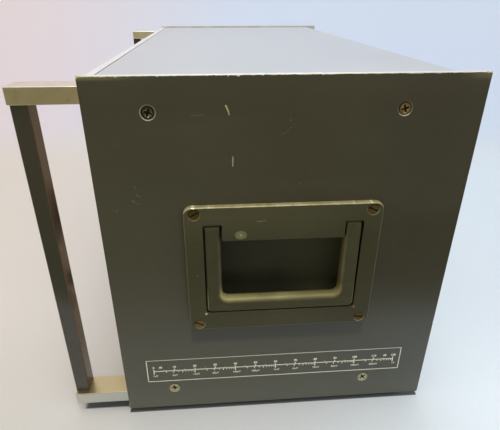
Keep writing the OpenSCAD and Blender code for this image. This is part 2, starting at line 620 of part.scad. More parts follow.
// ---------- Rear fittings ----------
module power_inlet() color([0.09, 0.09, 0.09]) difference() {
    union() {
        on_y(yb1, yb1 + 3) translate([ix, iz]) rr(50, 26, 4);
        box(ix - 14, ix + 14, yb1 - 20, yb1 + e, iz - 10, iz + 10);
    }
    difference() {
        on_y(yb1 - 16, yb1 + 4) translate([ix, iz]) rr(24.4, 16.4, 2);
        for (i = [-1, 0, 1]) box(ix + 7 * i - 1, ix + 7 * i + 1, yb1 - 17, yb1 + 0.5, iz + (i == 0 ? 2 : -4), iz + (i == 0 ? 6 : 0));
    }
    for (i = [-1, 1]) cy(ix + i * 20, iz, yb1 - 1, yb1 + 4, 1.65);
}
module fuse_holder() color([0.10, 0.10, 0.10]) union() {
    cy(fx, fz, yb1 - 34, yb1 + 1, 6);
    cy(fx, fz, yb1, yb1 + 3, 8.5);
    cy(fx, fz, yb1 + 3 - e, yb1 + 11, 7);
}
module output_socket() color([0.78, 0.76, 0.70]) difference() {
    union() {
        cy(ox, oz, yb0 - 8, yb1 + 1, 6);
        cy(ox, oz, yb1, yb1 + 2, 8);
        cy(ox, oz, yb1 + 2 - e, yb1 + 12.5, 4.85);
    }
    cy(ox, oz, yb1 + 10.5, yb1 + 14, 4.1);
    cy(ox, oz, yb1 + 7, yb1 + 11, 1);
}

right_side_panel();
left_side_panel();
top_cover();
bottom_cover();
front_panel();
rear_panel();
side_rails();
chassis_deck();
case_screws();
small_screws();
right_handle_plate();
right_handle_pan();
right_bail();
left_handle_plate();
left_handle_pan();
left_bail();
hinge_rods();
handle_plate_screws();
handle_plate_nuts();
right_upper_arm();
right_lower_arm();
right_guard_bar();
left_upper_arm();
left_lower_arm();
left_guard_bar();
guard_screws();
rubber_feet();
foot_screws();
meter_case();
meter_scale();
meter_movement();
meter_pointer();
meter_window();
tuning_knob();
tuning_shaft();
dial_disc();
dial_shaft();
dial_window();
dial_bracket();
bracket_pillars();
tuning_capacitor();
capacitor_rotor();
attenuator_knob();
attenuator_shaft();
attenuator_body();
selector_knob();
selector_switch();
volume_knob();
volume_control();
power_switch();
power_lever();
pilot_lamp();
rf_input();
phones_jack();
power_transformer();
power_board();
signal_board();
power_inlet();
fuse_holder();
output_socket();
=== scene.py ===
import json
import math

import bmesh
import bpy
from mathutils import Matrix, Vector, geometry

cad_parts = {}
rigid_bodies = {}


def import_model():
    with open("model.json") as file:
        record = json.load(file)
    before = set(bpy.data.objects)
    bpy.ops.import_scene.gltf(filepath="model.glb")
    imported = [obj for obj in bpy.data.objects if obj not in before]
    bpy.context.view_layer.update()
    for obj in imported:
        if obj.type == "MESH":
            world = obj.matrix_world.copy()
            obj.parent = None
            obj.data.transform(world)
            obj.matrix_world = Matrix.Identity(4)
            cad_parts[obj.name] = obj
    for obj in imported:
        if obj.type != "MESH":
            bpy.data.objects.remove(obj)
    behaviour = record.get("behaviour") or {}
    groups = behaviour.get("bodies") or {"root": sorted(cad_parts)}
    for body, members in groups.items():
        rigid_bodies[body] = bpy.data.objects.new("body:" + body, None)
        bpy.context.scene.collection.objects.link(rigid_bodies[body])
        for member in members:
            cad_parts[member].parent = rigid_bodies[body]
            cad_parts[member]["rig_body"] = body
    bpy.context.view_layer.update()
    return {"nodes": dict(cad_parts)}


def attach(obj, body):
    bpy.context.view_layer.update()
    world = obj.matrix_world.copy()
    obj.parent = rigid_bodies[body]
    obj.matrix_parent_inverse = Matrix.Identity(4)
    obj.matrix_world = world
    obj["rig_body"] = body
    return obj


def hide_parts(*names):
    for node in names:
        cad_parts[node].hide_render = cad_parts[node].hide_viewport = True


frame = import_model()
N = frame["nodes"]
MM = 0.001
scene = bpy.context.scene

# ---------------------------------------------------------------- colours


def lin(r, g, b):
    """Linear colour of an 8-bit sRGB one."""
    out = []
    for v in (r, g, b):
        v /= 255.0
        out.append(v / 12.92 if v <= 0.04045 else ((v + 0.055) / 1.055) ** 2.4)
    return (out[0], out[1], out[2], 1.0)


# ---------------------------------------------------------------- materials


class Mat:
    """A node material with a Principled shader and short helpers."""

    def __init__(self, name):
        self.mat = bpy.data.materials.new(name)
        self.mat.use_nodes = True
        self.t = self.mat.node_tree
        self.t.nodes.clear()
        out = self.t.nodes.new("ShaderNodeOutputMaterial")
        self.b = self.t.nodes.new("ShaderNodeBsdfPrincipled")
        self.t.links.new(self.b.outputs["BSDF"], out.inputs["Surface"])
        self.pos = self.t.nodes.new("ShaderNodeTexCoord").outputs["Object"]
        sep = self.t.nodes.new("ShaderNodeSeparateXYZ")
        self.t.links.new(self.pos, sep.inputs[0])
        self.x, self.y, self.z = sep.outputs[0], sep.outputs[1], sep.outputs[2]

    def put(self, sock, v):
        if isinstance(v, bpy.types.NodeSocket):
            self.t.links.new(v, sock)
        else:
            sock.default_value = v

    def set(self, **kw):
        for k, v in kw.items():
            self.put(self.b.inputs[k.replace("_", " ")], v)
        return self

    def math(self, op, a, b=0.0, clamp=False):
        n = self.t.nodes.new("ShaderNodeMath")
        n.operation = op
        n.use_clamp = clamp
        self.put(n.inputs[0], a)
        self.put(n.inputs[1], b)
        return n.outputs[0]

    def scaled(self, sx, sy, sz, vec=None):
        n = self.t.nodes.new("ShaderNodeVectorMath")
        n.operation = "MULTIPLY"
        self.put(n.inputs[0], vec or self.pos)
        n.inputs[1].default_value = (sx, sy, sz)
        return n.outputs[0]

    def noise(self, scale, detail=3.0, rough=0.55, vec=None, bend=0.0):
        n = self.t.nodes.new("ShaderNodeTexNoise")
        self.put(n.inputs["Vector"], vec or self.pos)
        n.inputs["Scale"].default_value = scale
        n.inputs["Detail"].default_value = detail
        n.inputs["Roughness"].default_value = rough
        n.inputs["Distortion"].default_value = bend
        return n.outputs["Fac"]

    def cells(self, scale, vec=None):
        n = self.t.nodes.new("ShaderNodeTexVoronoi")
        self.put(n.inputs["Vector"], vec or self.pos)
        n.inputs["Scale"].default_value = scale
        return n.outputs["Distance"], n.outputs["Color"]

    def span(self, v, a, b, lo=0.0, hi=1.0, soft=True):
        n = self.t.nodes.new("ShaderNodeMapRange")
        n.interpolation_type = "SMOOTHSTEP" if soft else "LINEAR"
        self.put(n.inputs["Value"], v)
        self.put(n.inputs["From Min"], a)
        self.put(n.inputs["From Max"], b)
        self.put(n.inputs["To Min"], lo)
        self.put(n.inputs["To Max"], hi)
        return n.outputs["Result"]

    def mix(self, f, a, b):
        n = self.t.nodes.new("ShaderNodeMix")
        n.data_type = "RGBA"
        self.put(n.inputs[0], f)
        self.put(n.inputs[6], a)
        self.put(n.inputs[7], b)
        return n.outputs[2]

    def level(self, f, a, b):
        n = self.t.nodes.new("ShaderNodeMix")
        n.data_type = "FLOAT"
        self.put(n.inputs[0], f)
        self.put(n.inputs[2], a)
        self.put(n.inputs[3], b)
        return n.outputs[0]

    def wear(self):
        n = self.t.nodes.new("ShaderNodeAttribute")
        n.attribute_name = "wear"
        return n.outputs["Fac"]

    def normal_part(self, axis):
        g = self.t.nodes.new("ShaderNodeNewGeometry")
        s = self.t.nodes.new("ShaderNodeSeparateXYZ")
        self.t.links.new(g.outputs["Normal"], s.inputs[0])
        return s.outputs[axis]

    def edge(self, radius, gain=1.0, samples=6):
        """1 on convex and concave edges, 0 on flats."""
        bv = self.t.nodes.new("ShaderNodeBevel")
        bv.samples = samples
        bv.inputs["Radius"].default_value = radius
        g = self.t.nodes.new("ShaderNodeNewGeometry")
        d = self.t.nodes.new("ShaderNodeVectorMath")
        d.operation = "DOT_PRODUCT"
        self.t.links.new(bv.outputs[0], d.inputs[0])
        self.t.links.new(g.outputs["True Normal"], d.inputs[1])
        return self.math("MULTIPLY", self.math("SUBTRACT", 1.0, d.outputs["Value"]), gain, clamp=True)

    def near(self, y, z, r, ragged=0.35, scale=900.0):
        """1 close to a point of the side plane, with a ragged rim."""
        dy = self.math("SUBTRACT", self.y, y * MM)
        dz = self.math("SUBTRACT", self.z, z * MM)
        d = self.math("SQRT", self.math("ADD", self.math("MULTIPLY", dy, dy), self.math("MULTIPLY", dz, dz)))
        n = self.math("MULTIPLY", self.math("SUBTRACT", self.noise(scale, 3), 0.5), 4 * ragged * r * MM)
        d = self.math("ADD", d, n)
        return self.span(d, r * MM * 1.05, r * MM * 0.85)

    def oval(self, y, z, ry, rz):
        dy = self.math("DIVIDE", self.math("SUBTRACT", self.y, y * MM), ry * MM)
        dz = self.math("DIVIDE", self.math("SUBTRACT", self.z, z * MM), rz * MM)
        d = self.math("ADD", self.math("MULTIPLY", dy, dy), self.math("MULTIPLY", dz, dz))
        return self.span(d, 1.15, 0.7)

    def stroke(self, y0, z0, y1, z1, w):
        """1 along a scratch of the side plane from one point to the other."""
        ly, lz = (y1 - y0) * MM, (z1 - z0) * MM
        long2 = ly * ly + lz * lz
        ry = self.math("SUBTRACT", self.y, y0 * MM)
        rz = self.math("SUBTRACT", self.z, z0 * MM)
        t = self.math("DIVIDE", self.math("ADD", self.math("MULTIPLY", ry, ly), self.math("MULTIPLY", rz, lz)), long2, clamp=True)
        qy = self.math("SUBTRACT", ry, self.math("MULTIPLY", t, ly))
        qz = self.math("SUBTRACT", rz, self.math("MULTIPLY", t, lz))
        d = self.math("SQRT", self.math("ADD", self.math("MULTIPLY", qy, qy), self.math("MULTIPLY", qz, qz)))
        d = self.math("ADD", d, self.math("MULTIPLY", self.math("SUBTRACT", self.noise(700.0, 2), 0.5), w * MM))
        return self.span(d, w * MM, w * MM * 0.4)

    def most(self, *masks):
        out = masks[0]
        for m in masks[1:]:
            out = self.math("MAXIMUM", out, m)
        return out

    def satin(self, r):
        """Roughness kept to the satin range."""
        return self.math("MAXIMUM", r, 0.285)

    def gloss(self, r):
        """Roughness kept to the glossy range."""
        return self.math("MINIMUM", r, 0.262)

    def bump(self, height, strength, distance, normal=None):
        n = self.t.nodes.new("ShaderNodeBump")
        n.inputs["Strength"].default_value = strength
        n.inputs["Distance"].default_value = distance
        self.put(n.inputs["Height"], height)
        if normal is not None:
            self.put(n.inputs["Normal"], normal)
        return n.outputs[0]


def blend_wear(m, colour, rough, mask, metal, metal_rough=0.35):
    """Paint where mask is 0, bare metal where it is 1."""
    m.set(Base_Color=m.mix(mask, colour, metal), Metallic=mask)
    m.set(Roughness=m.level(mask, rough, metal_rough))


def paint(name, a, b, rough=0.38, specks=0.02, peel=0.05, edge_wear=0.0, metal=lin(196, 188, 160), spec=0.5, foot_band=None, inner=None):
    """Sprayed paint: blotches, fine grain, pale specks, orange peel, worn edges, and optionally a band of tone towards
    the foot and a tint on the faces that look along +y.
    """
    m = Mat(name)
    col = m.mix(m.span(m.noise(16.0, 4), 0.35, 0.68), a, b)
    grain = m.noise(1400.0, 2)
    col = m.mix(m.span(grain, 0.3, 0.8, 0.0, 0.12), col, (b[0] * 1.8, b[1] * 1.8, b[2] * 1.8, 1))
    # optional band of tone towards the foot: a painted floor reflection on the guard bar, and on the recess simply
    # darker towards its foot
    if foot_band is not None:
        lo, hi, amount, tone = foot_band
        foot_band_mask = m.math("MULTIPLY", m.span(m.z, hi, lo, 0.0, amount), m.span(m.noise(30.0, 5), 0.25, 0.75, 0.6, 1.0))
        col = m.mix(foot_band_mask, col, tone)
    # optional tint on the faces that look along +y: on the guard bar's inner face a painted reflection of the beige
    # front panel, in base colour and specular tint
    if inner is not None:
        back = m.span(m.normal_part(1), 0.5, 0.9)
        col = m.mix(m.math("MULTIPLY", back, 0.6), col, inner)
        m.set(Specular_Tint=m.mix(back, (1.0, 1.0, 1.0, 1.0), (1.0, 0.91, 0.82, 1.0)))
    d, c = m.cells(170.0)
    dot = m.math("MULTIPLY", m.span(d, 0.10, 0.05), m.span(m.noise(11.0, 2), 0.62, 0.72))
    col = m.mix(m.math("MULTIPLY", dot, specks * 12, clamp=True), col, lin(170, 165, 150))
    r = m.math("ADD", m.span(m.noise(9.0, 5), 0.3, 0.7, rough - 0.05, rough + 0.07), m.math("MULTIPLY", grain, 0.03))
    r = m.satin(r) if rough > 0.27 else m.gloss(r)
    hgt = m.math("ADD", m.math("MULTIPLY", m.noise(650.0, 2), 0.6), m.math("MULTIPLY", m.noise(2600.0, 2), 0.4))
    m.set(Normal=m.bump(hgt, peel, 0.0006), IOR=1.5)
    m.b.inputs["Specular IOR Level"].default_value = spec
    if edge_wear > 0:
        rag = m.math("ADD", m.edge(0.0011, 2.4), m.math("MULTIPLY", m.math("SUBTRACT", m.noise(420.0, 5), 0.5), 1.1))
        mask = m.math("MULTIPLY", m.span(rag, 0.62, 0.78), edge_wear)
        blend_wear(m, col, r, mask, metal)
    else:
        m.set(Base_Color=col, Roughness=r)
    return m


def metal(name, a, b, rough=0.34, along=None, brush=0.06, stain=None, aniso=0.0):
    """Bare or plated metal: tarnish blotches, brushing along one axis, fine pits."""
    m = Mat(name)
    col = m.mix(m.span(m.noise(42.0, 5, 0.6, bend=0.4), 0.32, 0.7), a, b)
    if stain is not None:
        col = m.mix(m.span(m.noise(120.0, 4), 0.58, 0.75, 0.0, 0.5), col, stain)
    if along is None:
        lines = m.noise(900.0, 3)
    else:
        k = [2600.0, 2600.0, 2600.0]
        k[along] = 40.0
        lines = m.noise(1.0, 3, vec=m.scaled(*k))
    r = m.math("ADD", m.span(m.noise(60.0, 4), 0.3, 0.7, rough - 0.07, rough + 0.09), m.math("MULTIPLY", m.math("SUBTRACT", lines, 0.5), 0.2))
    r = m.satin(r) if rough > 0.27 else m.gloss(r)
    m.set(Base_Color=col, Metallic=1.0, Roughness=r, Normal=m.bump(lines, brush, 0.0003))
    if aniso:
        m.b.inputs["Anisotropic"].default_value = aniso
    return m


def plastic(name, a, b, rough=0.35, grain=0.05, spec=0.5):
    m = Mat(name)
    col = m.mix(m.span(m.noise(70.0, 4), 0.3, 0.7), a, b)
    r = m.satin(m.span(m.noise(140.0, 4), 0.3, 0.7, rough - 0.06, rough + 0.1))
    m.set(Base_Color=col, Roughness=r, Normal=m.bump(m.noise(1500.0, 3), grain, 0.0003))
    m.b.inputs["Specular IOR Level"].default_value = spec
    return m


def ink(name, a, b, fade=0.25, rough=0.55):
    """Printed marks, slightly uneven and rubbed."""
    m = Mat(name)
    f = m.span(m.noise(380.0, 4), 0.35, 0.8, 0.0, fade)
    m.set(Base_Color=m.mix(f, a, b), Roughness=m.span(m.noise(900.0, 2), 0.3, 0.7, rough - 0.05, rough + 0.1))
    m.set(Normal=m.bump(m.noise(2200.0, 2), 0.05, 0.0002))
    return m


# carry handle: centre in the side plane and hinge axis, in mm
HY, HZ, HINGE_X, HINGE_Z = 19.5, 128.75, 233.5, 157.35


def side_paint():
    """Dark olive-grey enamel with a worn upper edge, chipped corners and light scratches; bare metal on the inner face;
    a painted floor reflection towards the foot, a painted shadow below the handle plate and painted highlights on the
    countersink lips.
    """
    m = Mat("side_panel_enamel")
    col = m.mix(m.span(m.noise(13.0, 5), 0.3, 0.7), lin(49, 46, 27), lin(53, 50, 30))
    grain = m.noise(420.0, 3)
    col = m.mix(m.span(grain, 0.35, 0.8, 0.0, 0.05), col, lin(98, 95, 76))
    # painted floor reflection: a paler film that thickens towards the foot
    foot_band_mask = m.math("MULTIPLY", m.span(m.z, 0.120, 0.0, 0.0, 0.21), m.span(m.noise(24.0, 5), 0.2, 0.8, 0.65, 1.0))
    col = m.mix(foot_band_mask, col, lin(112, 118, 108))
    # rubbed, slightly lighter lanes and a few hair scratches
    lanes = m.noise(1.0, 2, vec=m.scaled(30.0, 22.0, 110.0), bend=0.2)
    col = m.mix(m.span(lanes, 0.50, 0.85, 0.0, 0.05), col, lin(104, 101, 84))
    hair = m.noise(1.0, 1, vec=m.scaled(200.0, 26.0, 900.0), bend=0.1)
    hairs = m.math("MULTIPLY", m.span(hair, 0.72, 0.77), m.span(m.noise(9.0, 3), 0.55, 0.70))
    col = m.mix(m.math("MULTIPLY", hairs, 0.06), col, lin(140, 136, 116))
    col = m.mix(m.span(m.y, 0.050, 0.110, 0.0, 0.25), col, lin(34, 31, 15))
    # paler, more faded towards the front
    fade = m.math("MULTIPLY", m.span(m.y, 0.075, -0.045), m.math("MULTIPLY", m.span(m.z, 0.075, 0.115, 0.4, 1.0), m.span(m.z, 0.170, 0.205, 1.0, 0.65)))
    fade = m.math("MULTIPLY", m.math("MAXIMUM", fade, m.span(m.z, 0.155, 0.180, 0.0, 0.35)), m.span(m.z, 0.242, 0.222))
    col = m.mix(m.math("MULTIPLY", fade, 0.10), col, lin(123, 125, 102))
    # painted floor reflection, paler still at the very foot; and a paler band below the upper edge
    col = m.mix(m.span(m.z, 0.035, 0.005, 0.0, 0.07), col, lin(150, 152, 128))
    col = m.mix(m.span(m.z, 0.222, 0.250, 0.0, 0.06), col, lin(124, 121, 104))
    # painted shadow of the handle plate: a darker band below it
    shade = m.math("MULTIPLY", m.span(m.z, 0.0640, 0.0695), m.span(m.z, 0.0830, 0.0825))
    shade = m.math("MULTIPLY", shade, m.math("MULTIPLY", m.span(m.y, -0.0445, -0.0425), m.span(m.y, 0.0820, 0.0800)))
    col = m.mix(m.math("MULTIPLY", shade, 0.70), col, lin(33, 32, 23))
    # yellowish tarnish below the upper edge at the front corner
    tarn = m.math("MULTIPLY", m.span(m.z, 0.2498, 0.2522), m.span(m.y, -0.052, -0.090, 0.0, 0.30))
    col = m.mix(tarn, col, lin(168, 163, 92))
    # brown rub at the rear upper corner
    up = m.span(m.math("ADD", m.z, m.math("MULTIPLY", m.noise(160.0, 4), 0.004)), 0.2490, 0.2555)
    rub = m.math("MULTIPLY", up, m.span(m.math("ADD", m.y, m.math("MULTIPLY", m.noise(90.0, 4), 0.010)), 0.118, 0.140))
    col = m.mix(m.math("MULTIPLY", rub, 0.55), col, lin(132, 112, 78))
    # light specks
    d, c = m.cells(110.0)
    dot = m.math("MULTIPLY", m.span(d, 0.07, 0.03), m.span(m.noise(10.0, 3), 0.58, 0.66))
    marks = m.most(
        m.stroke(-15.7, 236.2, -14.4, 233.2, 0.62), m.stroke(-14.6, 233.8, -13.9, 231.2, 0.38),
        m.math("MULTIPLY", m.stroke(-12.2, 206.3, -12.25, 200.7, 0.48), 0.8),
    )
    specks = m.most(
        m.math("MULTIPLY", m.most(m.near(21.2, 227.5, 0.5), m.near(28.6, 188.4, 0.45), m.near(-70.6, 188.7, 0.45), m.stroke(-70.3, 183.9, -68.8, 182.6, 0.3),
                                  m.near(-70.2, 183.8, 0.4), m.stroke(-73.0, 180.3, -72.1, 179.1, 0.5), m.near(-70.5, 178.1, 0.45), m.near(-83.2, 173.8, 0.5),
                                  m.near(95.0, 142.0, 0.4), m.near(34.9, 194.8, 0.35)), 0.32),
        m.math("MULTIPLY", m.most(m.stroke(16.0, 219.2, 19.0, 220.3, 0.3), m.stroke(19.0, 220.3, 20.4, 221.9, 0.3), m.near(21.6, 223.3, 0.4), m.near(28.1, 226.5, 0.4),
                                  m.stroke(-35.3, 230.8, -28.3, 231.4, 0.25)), 0.18),
        m.math("MULTIPLY", dot, 0.07),
    )
    right = m.span(m.x, -0.1, 0.1, 0.2, 0.85)
    col = m.mix(m.math("MULTIPLY", marks, right), col, lin(178, 174, 118))
    col = m.mix(m.math("MULTIPLY", specks, right), col, lin(176, 172, 150))
    # bare metal along the upper edge, at chipped corners and here and there on the other edges
    jag = m.math("SUBTRACT", m.noise(300.0, 6, 0.62), 0.5)
    top = m.math("ADD", m.math("SUBTRACT", m.z, 0.25245), m.math("MULTIPLY", jag, 0.0014))
    worn = m.most(m.span(top, -0.00008, 0.00008), m.near(-8.6, 252.7, 0.9, 0.4), m.near(-14.0, 252.75, 0.7, 0.4), m.near(-20.5, 252.75, 0.6, 0.4), m.near(4.6, 252.75, 0.7, 0.4),
                  m.near(-74.0, 252.7, 0.7, 0.4), m.near(-52.0, 252.8, 0.7, 0.5), m.near(38.0, 252.8, 0.8, 0.5))
    rim = m.math("ADD", m.edge(0.0007, 2.4), m.math("MULTIPLY", m.math("SUBTRACT", m.noise(210.0, 5), 0.5), 1.5))
    rim = m.span(rim, 0.98, 1.12)
    chips = m.most(
        m.near(-95.0, 253.0, 1.7, 0.5), m.near(-92.8, 252.8, 0.8, 0.5), m.near(135.0, 253.0, 1.0, 0.6), m.near(132.0, 252.9, 0.7, 0.6),
        m.near(-95.0, 3.0, 1.5, 0.5), m.near(-94.9, 8.0, 0.6, 0.5), m.near(135.0, 3.0, 0.9, 0.5),
        m.near(135.0, 190.0, 0.6, 0.5), m.near(135.0, 74.0, 0.6, 0.5),
    )
    # painted highlights: bright lower lips of the countersinks
    spots = [(y, z) for y in (-59.0, 87.4) for z in (23.0, 233.0)]
    rings = m.most(*[m.math("SUBTRACT", m.near(y, z, 4.5, 0.02), m.near(y, z + 0.12, 4.1, 0.02), clamp=True) for y, z in spots])
    rings = m.math("MULTIPLY", rings, m.most(m.math("MULTIPLY", m.most(*[m.oval(y, z - 4.6, 4.2, 3.2) for y, z in spots]), 1.0),
                                             m.math("ADD", 0.3, m.math("MULTIPLY", m.math("MULTIPLY", m.span(m.y, 0.02, -0.03), m.span(m.z, 0.15, 0.20)), 0.4))))
    inner = m.math("LESS_THAN", m.math("MULTIPLY", m.normal_part(0), m.x), -0.1)
    mask = m.most(worn, rim, chips, rings, inner)
    tone = m.mix(m.span(m.noise(150.0, 4), 0.35, 0.7), lin(243, 242, 234), lin(232, 227, 208))
    tone = m.mix(chips, tone, lin(218, 209, 164))
    # near-white tone of the painted countersink highlights
    tone = m.mix(m.span(rings, 0.1, 0.3), tone, lin(255, 250, 226))
    tone = m.mix(inner, tone, m.mix(m.span(m.noise(60.0, 3), 0.3, 0.7), lin(220, 216, 206), lin(200, 195, 184)))
    r = m.satin(m.math("ADD", m.span(m.noise(7.0, 5), 0.3, 0.7, 0.275, 0.325), m.math("MULTIPLY", grain, 0.03)))
    m.set(Base_Color=m.mix(mask, col, tone), Metallic=m.math("MULTIPLY", m.most(worn, rim, chips, inner), 0.5), Roughness=m.level(mask, r, 0.42))
    m.b.inputs["Specular IOR Level"].default_value = 0.75
    hgt = m.math("ADD", m.math("MULTIPLY", m.noise(620.0, 2), 0.6), m.math("MULTIPLY", m.noise(2400.0, 2), 0.4))
    n1 = m.bump(hgt, 0.015, 0.0006)
    m.set(Normal=m.bump(m.math("SUBTRACT", 1.0, mask), 0.4, 0.00006, n1))
    return m


def handle_paint(name, a, b, plate):
    """Smooth enamel of the handle, polished paler where it is gripped with a painted highlight along the bail's
    round-over, worn to yellowish metal with a painted highlight on the plate's upper rim; painted glints, and painted
    shade in the gaps.
    """
    m = Mat(name)
    col = m.mix(m.span(m.noise(22.0, 5), 0.3, 0.7), a, b)
    grain = m.noise(480.0, 3)
    col = m.mix(m.span(grain, 0.35, 0.8, 0.0, 0.07), col, lin(100, 95, 70))
    streak = m.noise(1.0, 4, vec=m.scaled(60.0, 18.0, 120.0), bend=0.4)
    col = m.mix(m.span(streak, 0.50, 0.80, 0.0, 0.10), col, lin(96, 92, 66))
    r = m.satin(m.math("ADD", m.span(m.noise(26.0, 5), 0.3, 0.7, 0.29, 0.38), m.math("MULTIPLY", grain, 0.03)))
    rag = m.math("SUBTRACT", m.noise(150.0, 6, 0.62), 0.5)
    if plate:
        # upper rim: worn metal with a painted highlight on the faces that look upward
        up = m.normal_part(2)
        rim = m.math("MULTIPLY", m.span(m.math("ADD", up, m.math("MULTIPLY", rag, 0.5)), 0.18, 0.5), m.math("GREATER_THAN", m.z, 0.172))
        col = m.mix(m.span(m.z, 0.150, 0.172, 0.0, 0.12), col, lin(112, 106, 76))
        col = m.mix(m.span(m.y, 0.030, 0.075, 0.0, 0.28), col, lin(35, 32, 13))
        pale = m.math("MULTIPLY", m.wear(), 0.30)
        # painted shade: near-black lines in the gaps round the bail
        gap = m.math("MULTIPLY", m.span(m.math("ABSOLUTE", m.normal_part(0)), 0.6, 0.3), m.math("MULTIPLY", m.span(m.math("ABSOLUTE", m.math("SUBTRACT", m.y, HY * 0.001)), 0.0525, 0.0520), m.span(m.z, 0.0940, 0.0945)))
        gap = m.math("MULTIPLY", gap, m.span(m.z, 0.1655, 0.1650))
        gap = m.most(gap, m.stroke(HY - 48.5, 95.6, HY + 48.5, 95.6, 0.35), m.stroke(HY - 51.2, 99.0, HY - 51.2, 162.0, 0.3),
                     m.stroke(HY - 50.5, 163.3, HY - 40.0, 163.3, 0.35), m.stroke(HY + 40.0, 163.3, HY + 50.5, 163.3, 0.4))
        spot = m.oval(-7.9, 156.0, 4.0, 3.1)
        spot = m.math("MULTIPLY", spot, m.span(m.noise(500.0, 3), 0.2, 0.6, 0.55, 0.95))
        col = m.mix(pale, col, lin(120, 114, 84))
        col = m.mix(m.math("MULTIPLY", spot, 0.62), col, lin(130, 127, 86))
        col = m.mix(m.math("MULTIPLY", m.near(-8.0, 155.8, 0.7), 0.7), col, lin(172, 168, 122))
        chips = m.most(m.near(-32.0, 95.3, 0.85, 0.5), m.near(71.0, 95.6, 0.5, 0.4), m.math("MULTIPLY", m.stroke(2.1, 165.1, 7.7, 165.7, 0.16), 0.35),
                       m.math("MULTIPLY", m.near(-36.5, 127.0, 0.4), 0.4), m.math("MULTIPLY", m.near(72.0, 171.0, 0.5), 0.4))
        # bright lower lips of the countersinks: a painted highlight in the worn metal tone
        lips = m.most(*[m.math("SUBTRACT", m.near(HY + i * 56.3, HZ + j * 42.2, 4.0, 0.02), m.near(HY + i * 56.3 - 0.1, HZ + j * 42.2 + 0.32, 3.95, 0.02), clamp=True)
                        for i in (-1, 1) for j in (-1, 1)])
        # painted glints on the upper rim, near its corners
        painted_glints = m.most(m.near(-37.1, 176.2, 1.15, 0.4), m.math("MULTIPLY", m.near(-27.6, 176.1, 0.7, 0.5), 0.5), m.math("MULTIPLY", m.near(62.9, 176.2, 0.8, 0.5), 0.7), m.near(74.3, 176.2, 0.9, 0.4))
        mask = m.math("MULTIPLY", m.most(m.math("MULTIPLY", rim, 0.76), chips, m.math("MULTIPLY", lips, 0.65), painted_glints), m.math("SUBTRACT", 1.0, gap))
        col = m.mix(m.math("MULTIPLY", gap, 0.9), col, lin(10, 9, 5))
    else:
        # painted highlight along the rounded edges of the grip and of the right arm, brightest towards the left end,
        # with the paler polish where it is gripped
        round_over = m.span(m.math("ABSOLUTE", m.normal_part(0)), 0.985, 0.60)
        low = m.span(m.math("SUBTRACT", m.z, 0.1105), 0.008, -0.003, 0.10, 1.0)
        low = m.math("MAXIMUM", low, m.span(m.y, 0.048, 0.054, 0.0, 0.26))
        pale = m.math("MULTIPLY", m.math("MULTIPLY", round_over, low), m.span(m.math("ADD", m.noise(34.0, 4), m.math("MULTIPLY", m.y, -1.2)), 0.35, 0.75, 0.50, 0.90))
        # painted shade on the arms' inner walls next to the hinge
        slot = m.math("MULTIPLY", m.span(m.math("ABSOLUTE", m.normal_part(1)), 0.6, 0.9), m.span(m.math("ABSOLUTE", m.math("SUBTRACT", m.y, HY * 0.001)), 0.0412, 0.0408))
        slot = m.math("MULTIPLY", slot, m.span(m.z, 0.1510, 0.1522))
        pale = m.math("MULTIPLY", pale, m.math("SUBTRACT", 1.0, slot))
        col = m.mix(m.math("MULTIPLY", slot, 0.85), col, lin(12, 11, 6))
        col = m.mix(pale, col, lin(166, 156, 98))
        r = m.satin(m.math("SUBTRACT", r, m.math("MULTIPLY", pale, 0.08)))
        mask = m.math("MULTIPLY", m.span(m.noise(120.0, 6, 0.6), 0.74, 0.77), 0.25)
    tone = m.mix(m.span(m.noise(190.0, 4), 0.3, 0.7), lin(222, 212, 164), lin(188, 174, 122))
    # near-white tone of the painted glints on the plate
    if plate:
        tone = m.mix(painted_glints, tone, lin(252, 246, 206))
    m.b.inputs["Specular IOR Level"].default_value = 0.32
    m.set(Base_Color=m.mix(mask, col, tone), Metallic=m.math("MULTIPLY", mask, 0.4), Roughness=m.level(mask, r, 0.36))
    hgt = m.math("ADD", m.math("MULTIPLY", m.noise(520.0, 2), 0.6), m.math("MULTIPLY", m.noise(2200.0, 2), 0.4))
    m.set(Normal=m.bump(hgt, 0.05, 0.0006))
    return m


def cover_paint():
    """Pale grey enamel of the covers, a little wavy, with rubbed and chipped edges."""
    m = Mat("cover_enamel")
    col = m.mix(m.span(m.noise(9.0, 5), 0.3, 0.7), lin(186, 188, 190), lin(192, 194, 196))
    grain = m.noise(380.0, 2)
    col = m.mix(m.span(grain, 0.4, 0.8, 0.0, 0.03), col, lin(160, 162, 160))
    smear = m.noise(1.0, 2, vec=m.scaled(9.0, 22.0, 11.0), bend=0.2)
    col = m.mix(m.span(smear, 0.45, 0.85, 0.0, 0.06), col, lin(160, 160, 156))
    rim = m.math("ADD", m.edge(0.0016, 2.2), m.math("MULTIPLY", m.math("SUBTRACT", m.noise(170.0, 5), 0.5), 1.5))
    rim = m.span(rim, 0.80, 0.92)
    r = m.span(m.noise(9.0, 3), 0.3, 0.7, 0.29, 0.35)
    m.set(Base_Color=m.mix(rim, col, lin(238, 236, 228)), Roughness=m.level(rim, r, 0.5))
    hgt = m.math("ADD", m.math("MULTIPLY", m.noise(420.0, 2), 0.004), m.noise(7.0, 1))
    m.set(Normal=m.bump(hgt, 0.04, 0.0016))
    return m


